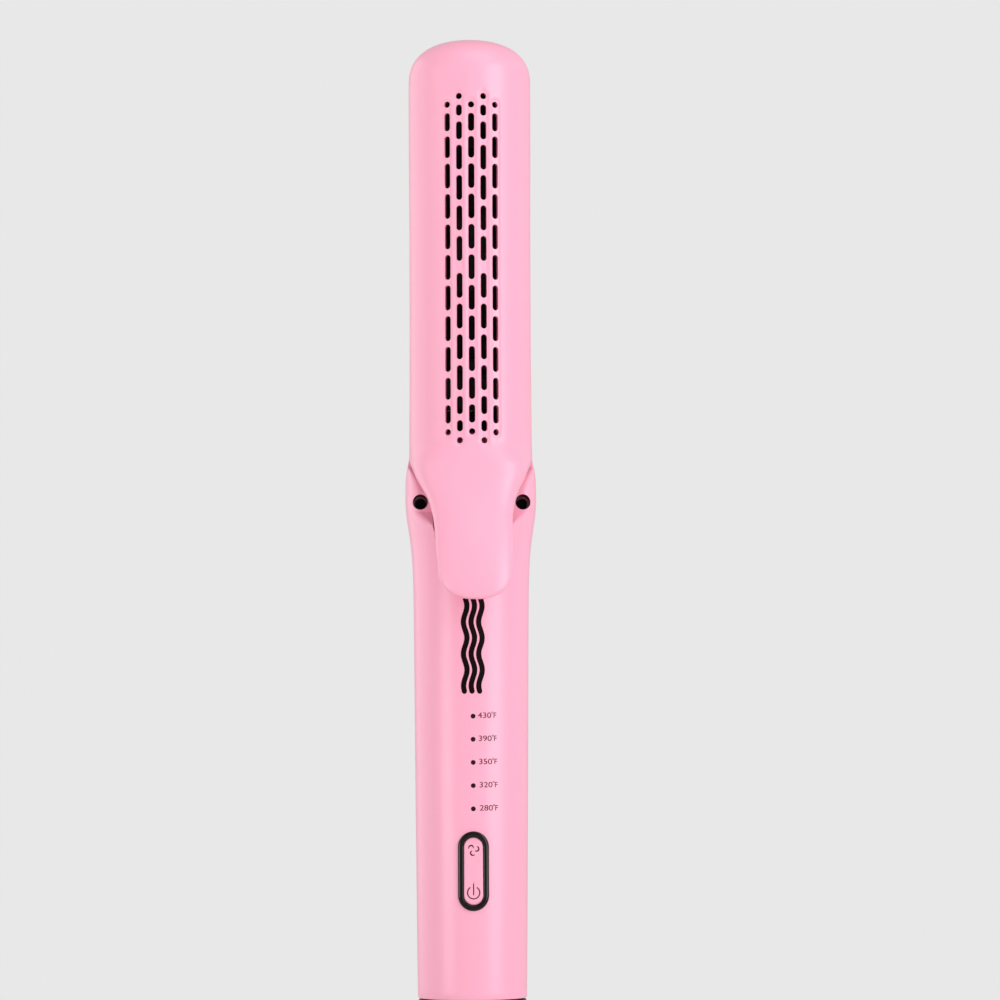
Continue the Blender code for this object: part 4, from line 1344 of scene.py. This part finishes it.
def strand_graphic():
    """Three wavy strands printed on the handle."""
    part = Mesher()
    top, low = -26.0, -50.6
    for middle in (-1.95, 0.0, 1.95):
        points, widths = [], []
        for i in range(97):
            t = i / 96
            points.append((middle + 0.45 * math.sin(t * math.tau * 3.0), top + (low - top) * t))
            end = max(0.0, (t - 0.965) / 0.035)
            widths.append(1.34 * min(1.0, math.sqrt(max(0.0, 1 - end**2)) + 0.02))
        print_band(part, points, widths)
    part.make("strand_graphic", ROOT, INK, sharp=50.0)


def indicator_lights():
    """A bar behind the handle's wall, with five round lenses standing through the wall."""
    part = Mesher()
    # radius, height over the handle
    lens = [(0.62, -0.6), (0.62, 0.0), (0.59, 0.035), (0.5, 0.06), (0.3, 0.085), (0.1, 0.095)]
    for i in range(LED_COUNT):
        z_led = LED_TOP - LED_PITCH * i
        rings = [part.add_row((x, -10.6, z) for x, z in circle(LED_X, z_led, 0.6, 40))]
        for radius, height in lens:
            ring = []
            for x, z in circle(LED_X, z_led, radius, 40):
                # each lens takes the depth of the handle at its own middle height
                y = on_handle(x, z_led, height)[1]
                ring.append(part.add((x, y, z)))
            rings.append(ring)
        part.grid(rings, close=True)
        part.cap(rings[0])
        part.cap(rings[-1])
    lenses = part.make("indicator_light_pipe_fine", ROOT, LENS, sharp=60.0)
    low, high = pipe_low[2], pipe_high[2]
    bar = slab(
        "indicator_light_bar", ROOT, LENS,
        [(-11.2, low), (-10.0, low), (-10.0, high), (-11.2, high)],
        LED_X - 1.4, LED_X + 1.4, bevel=0.2,
    )
    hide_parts("indicator_light_pipe")
    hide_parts("indicator_light_pipe")


def text_mesh(text, size):
    curve = bpy.data.curves.new("label", "FONT")
    curve.body = text
    curve.size = size * MM
    curve.resolution_u = 6
    obj = bpy.data.objects.new("label", curve)
    bpy.context.scene.collection.objects.link(obj)
    mesh = baked_mesh(obj)
    bpy.data.objects.remove(obj, do_unlink=True)
    return mesh


def laid_text(text, size, x_start, z_start, widen):
    """A mesh of text with thickness, laid on the round handle."""
    solid = bmesh.new()
    solid.from_mesh(text_mesh(text, size))
    bmesh.ops.triangulate(solid, faces=solid.faces)
    grown = bmesh.ops.extrude_face_region(solid, geom=list(solid.faces))["geom"]
    top = set(item for item in grown if isinstance(item, bmesh.types.BMVert))
    for v in solid.verts:
        x = x_start + v.co.x * 1000 * widen
        z = z_start + v.co.y * 1000
        v.co = world(*on_handle(x, z, 0.028 if v in top else -0.04))
    bmesh.ops.recalc_face_normals(solid, faces=solid.faces)
    mesh = bpy.data.meshes.new("label_mesh")
    solid.to_mesh(mesh)
    solid.free()
    return mesh


def temperature_numbers():
    """Temperatures beside the lights."""
    labels = bmesh.new()
    for i, number in enumerate(("430", "390", "350", "320", "280")):
        # text, size, x, height over the light's middle, widening
        parts = (
            (number, 2.02, 1.20, -0.45, 1.17), ("°", 1.9, 4.62, -0.20, 0.9),
            ("F", 2.02, 5.16, -0.45, 0.95),
        )
        for text, size, x, rise, widen in parts:
            z = LED_TOP - LED_PITCH * i + rise
            labels.from_mesh(laid_text(text, size, x + 0.09 * i, z, widen))
    mesh = bpy.data.meshes.new("temperature_numbers")
    labels.to_mesh(mesh)
    labels.free()
    obj = finish_mesh(mesh, "temperature_numbers", ROOT, PLUM_INK, sharp=40.0)


FAN_Z, POWER_Z, POWER_R = -90.38, -101.25, 1.56
# one fan blade, root to tip: radius, degrees
BLADE = [(0.42, -46), (0.80, -38), (1.16, -24), (1.36, -6), (1.38, 14), (1.22, 32)]


def key_icons():
    """The fan icon and the power icon, printed on the key."""
    part = Mesher()

    def lay(x, z, height):
        return on_key(x, z, 0.055 + height)

    # power: an open circle with a bar
    angles = [math.radians(31 + (329 - 31) * i / 60) for i in range(61)]
    open_circle = [(POWER_R * math.sin(a), POWER_Z + POWER_R * math.cos(a)) for a in angles]
    print_band(part, open_circle, [0.29] * 61, lay)
    print_band(part, [(0.0, POWER_Z - 0.62 + 0.25 * i) for i in range(13)], [0.28] * 13, lay)
    # fan: three curved blades, each a band that is widest about its middle
    shares = [i / (len(BLADE) - 1) for i in range(len(BLADE))]
    radius_at, degrees_at = [smooth_curve(shares, column) for column in zip(*BLADE)]
    for k in range(3):
        turn = math.radians(134 - 120 * k)
        points, widths = [], []
        for i in range(45):
            t = i / 44
            radius, a = float(radius_at(t)), math.radians(float(degrees_at(t))) + turn
            points.append((radius * math.cos(a), FAN_Z + radius * math.sin(a)))
            widths.append(0.10 + 0.28 * math.sin(math.pi * min(1.0, 0.06 + 0.90 * t)) ** 0.8)
        print_band(part, points, widths, lay)
    part.make("key_icons", ROCKER, PLUM_INK, sharp=60.0)


strand_graphic()
indicator_lights()
temperature_numbers()
key_icons()


# ------------------------------------------------------------------ end cap, boot and cord
def end_cap():
    """A turned cap with a ring of ten holes through its lower face."""
    low = node_mm("end_cap")[0][2]
    # radius, height
    profile = [
        (12.0, -127.2), (12.0, -128.85), (13.96, -128.85), (13.86, -136.0), (13.35, -139.4),
        (12.3, -141.8), (10.6, low), (4.9, low), (4.9, -140.5), (11.4, -140.5), (11.6, -136.0),
        (11.0, -131.0), (11.0, -127.2),
    ]
    outline = rounded(profile, [0, 0, 0.3, 3.0, 3.0, 2.5, 1.2, 0.3])
    cap = lathe("end_cap_blank", None, BLACK_SATIN, outline, segments=128)
    for i in range(10):
        a = math.tau * (i + 0.5) / 10
        hole = rod("Z", (7.9 * math.cos(a), 7.9 * math.sin(a), -141.5), 8.0, 1.1, segments=28)
        combine(cap, hole)
    mesh = cap.data
    bpy.data.objects.remove(cap, do_unlink=True)
    cap = finish_mesh(mesh, "end_cap_fine", ROOT, BLACK_SATIN, sharp=35.0)
    stand_in(cap, "end_cap")


def strain_relief():
    """A ribbed boot that narrows downwards round the cord."""
    low, high = (corner[2] for corner in node_mm("strain_relief"))
    profile = []
    for i in range(6):
        top = high - 4.5 * i
        radius = 4.5 - 0.18 * i
        profile += [(radius, top), (radius, top - 3.1)]
        profile += [(radius - 0.7, top - 3.4), (radius - 0.7, top - 4.2)]
    profile = profile[:-1] + [(3.3, low + 0.4), (2.95, low), (2.72, low), (2.72, high)]
    outline = rounded(profile, [0.3] * (len(profile) - 4), steps=3)
    boot = lathe("strain_relief_fine", CORD, RUBBER, outline, segments=72)
    stand_in(boot, "strain_relief")


def power_cord():
    low, high = (corner[2] for corner in node_mm("power_cord"))
    profile = [(2.65, high), (2.65, low), (0.02, low), (0.02, high)]
    outline = rounded(profile, [0.2, 0.35], steps=4)
    cord = lathe("power_cord_fine", CORD, RUBBER, outline, segments=64)
    stand_in(cord, "power_cord")


def float_spring(node):
    """An arched leaf spring, built rigid; the real one flattens as the floating plate is pushed in.
    """
    low, high = node_mm(node)
    thickness = 0.4
    middle, half = (low[2] + high[2]) / 2, (high[2] - low[2]) / 2
    foot, rise = high[1], high[1] - low[1] - thickness
    arch = [
        (foot - rise * math.sin(math.pi * i / 28), middle - half + 2 * half * i / 28)
        for i in range(29)
    ]
    outline = arch + [(y - thickness, z) for y, z in reversed(arch)]
    leaf = slab(node + "_fine", CLAMP, DARK_STEEL, outline, -2.5, 2.5, bevel=0.06)
    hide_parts(node)
    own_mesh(leaf)


end_cap()
strain_relief()
power_cord()
float_spring("float_spring_lower")
float_spring("float_spring_upper")

# ------------------------------------------------------------------ finishes for the CAD nodes
# material and its nodes; the rest are steel
FINISHES = [
    (BLACK_MATTE, (
        "rear_plate_frame", "clamp_plate_frame", "fan_switch", "power_switch", "fan_housing",
        "swivel_retainer", "swivel_collar",
    )),
    (TITANIUM_REAR, ("rear_heating_plate",)),
    (TITANIUM_CLAMP, ("clamp_heating_plate",)),
    (CERAMIC, ("rear_heater", "clamp_heater")),
    (SILICONE, ("rear_thermistor", "clamp_thermistor", "rear_heater_lead", "mains_lead")),
    (BOARD, ("main_circuit_board",)),
    (LENS, ("indicator_light_pipe",)),
    (NYLON, ("air_duct", "fan_impeller")),
    (BRONZE, ("hinge_bush_left", "hinge_bush_right")),
    (FILTER, ("intake_filter",)),
    (DARK_STEEL, (
        "hinge_screw_left", "hinge_screw_right", "rear_frame_screw_lower",
        "rear_frame_screw_upper", "clamp_frame_screw_lower", "clamp_frame_screw_upper",
    )),
]
finish_of = {name: mat for mat, names in FINISHES for name in names}
for name, obj in frame["nodes"].items():
    obj.data.materials.clear()
    obj.data.materials.append(finish_of.get(name, STEEL))
    obj.data.shade_smooth()
    obj.data.set_sharp_from_angle(angle=math.radians(32))

# ------------------------------------------------------------------ stage, lights and camera
# From here on, lengths are in metres.
scene = bpy.context.scene


def build_floor():
    disc = bmesh.new()
    bmesh.ops.create_circle(disc, cap_ends=True, cap_tris=True, segments=96, radius=0.9)
    bmesh.ops.translate(disc, vec=(0, 0, CAD_BOX[0][2] - 0.0005), verts=disc.verts)
    mesh = bpy.data.meshes.new("floor")
    disc.to_mesh(mesh)
    disc.free()
    floor = bpy.data.objects.new("floor", mesh)
    scene.collection.objects.link(floor)
    mat, _, shader = new_material("pale_floor")
    shader.inputs["Base Color"].default_value = (0.80, 0.80, 0.80, 1)
    shader.inputs["Roughness"].default_value = 0.8
    shader.inputs["Specular IOR Level"].default_value = 0.2
    mesh.materials.append(mat)


def build_world():
    """White light all round, seen by the camera as a flat grey."""
    sky = bpy.data.worlds.new("studio")
    scene.world = sky
    sky.use_nodes = True
    nodes, links = sky.node_tree.nodes, sky.node_tree.links
    lighting = nodes["Background"]
    lighting.inputs["Color"].default_value = (1.0, 1.0, 1.0, 1)
    lighting.inputs["Strength"].default_value = 0.49
    seen = nodes.new("ShaderNodeBackground")
    seen.inputs["Color"].default_value = (0.807, 0.807, 0.807, 1)
    seen.inputs["Strength"].default_value = 1.0
    path = nodes.new("ShaderNodeLightPath")
    blend = nodes.new("ShaderNodeMixShader")
    links.new(path.outputs["Is Camera Ray"], blend.inputs["Fac"])
    links.new(lighting.outputs["Background"], blend.inputs[1])
    links.new(seen.outputs["Background"], blend.inputs[2])
    links.new(blend.outputs["Shader"], nodes["World Output"].inputs["Surface"])


def direction(azimuth, elevation):
    """Unit vector at angles in radians; azimuth 0 is -Y and turns towards +X."""
    return Vector((
        math.sin(azimuth) * math.cos(elevation),
        -math.cos(azimuth) * math.cos(elevation),
        math.sin(elevation),
    ))


LIGHT_TARGET, LIGHT_DISTANCE = Vector((0, 0, 0.06)), 1.3
# name, azimuth and elevation in degrees, (width, height), radiance
LIGHTS = [
    ("key_right", 47.0, 12.0, (0.70, 1.15), 3.8),
    ("fill_left_low", -52.0, -8.0, (0.50, 0.50), 5.6),
    ("fill_left_high", -56.0, 20.0, (0.70, 0.55), 0.7),
    ("rim_left", -122.0, 8.0, (1.2, 1.6), 0.90),
    ("rim_right", 126.0, 8.0, (1.0, 1.6), 0.15),
    ("front_low", 4.0, -24.0, (1.2, 0.7), 0.70),
    ("side_left", -80.0, 4.0, (1.0, 1.4), 0.40),
    ("top", 28.0, 64.0, (0.9, 0.9), 1.3),
]


def panel(name, azimuth, elevation, size, radiance):
    light = bpy.data.lights.new(name, "AREA")
    light.shape = "RECTANGLE"
    light.size, light.size_y = size
    light.energy = radiance * math.pi * size[0] * size[1]
    obj = bpy.data.objects.new(name, light)
    scene.collection.objects.link(obj)
    towards = direction(math.radians(azimuth), math.radians(elevation))
    obj.location = LIGHT_TARGET + LIGHT_DISTANCE * towards
    obj.rotation_euler = (LIGHT_TARGET - obj.location).to_track_quat("-Z", "Y").to_euler()


def build_camera():
    azimuth, elevation, roll = (math.radians(a) for a in (-2.0, -5.0, -0.24))
    distance = 0.900
    view_width = 0.2618  # width seen at the distance of the hinge
    aim_right, aim_up = 0.00764456, 0.0005236  # view centre, from the hinge
    data = bpy.data.cameras.new("camera")
    camera = bpy.data.objects.new("camera", data)
    scene.collection.objects.link(camera)
    data.sensor_fit = "HORIZONTAL"
    data.sensor_width = 36.0
    data.lens = 36.0 * distance / view_width
    data.clip_start, data.clip_end = 0.01, 20
    back = direction(azimuth, elevation)
    right = Vector((math.cos(azimuth), math.sin(azimuth), 0))
    up = back.cross(right)
    aim = Vector((0, 0, HINGE_Z * MM)) + right * aim_right + up * aim_up
    camera.location = aim + back * distance
    facing = Matrix((right, up, back)).transposed()
    camera.rotation_euler = (facing @ Matrix.Rotation(roll, 3, "Z")).to_euler()
    scene.camera = camera


build_floor()
build_world()
for light in LIGHTS:
    panel(*light)
build_camera()
scene.view_settings.view_transform = "Standard"
scene.view_settings.look = "None"
scene.view_settings.exposure = 0.0
scene.view_settings.gamma = 1.0
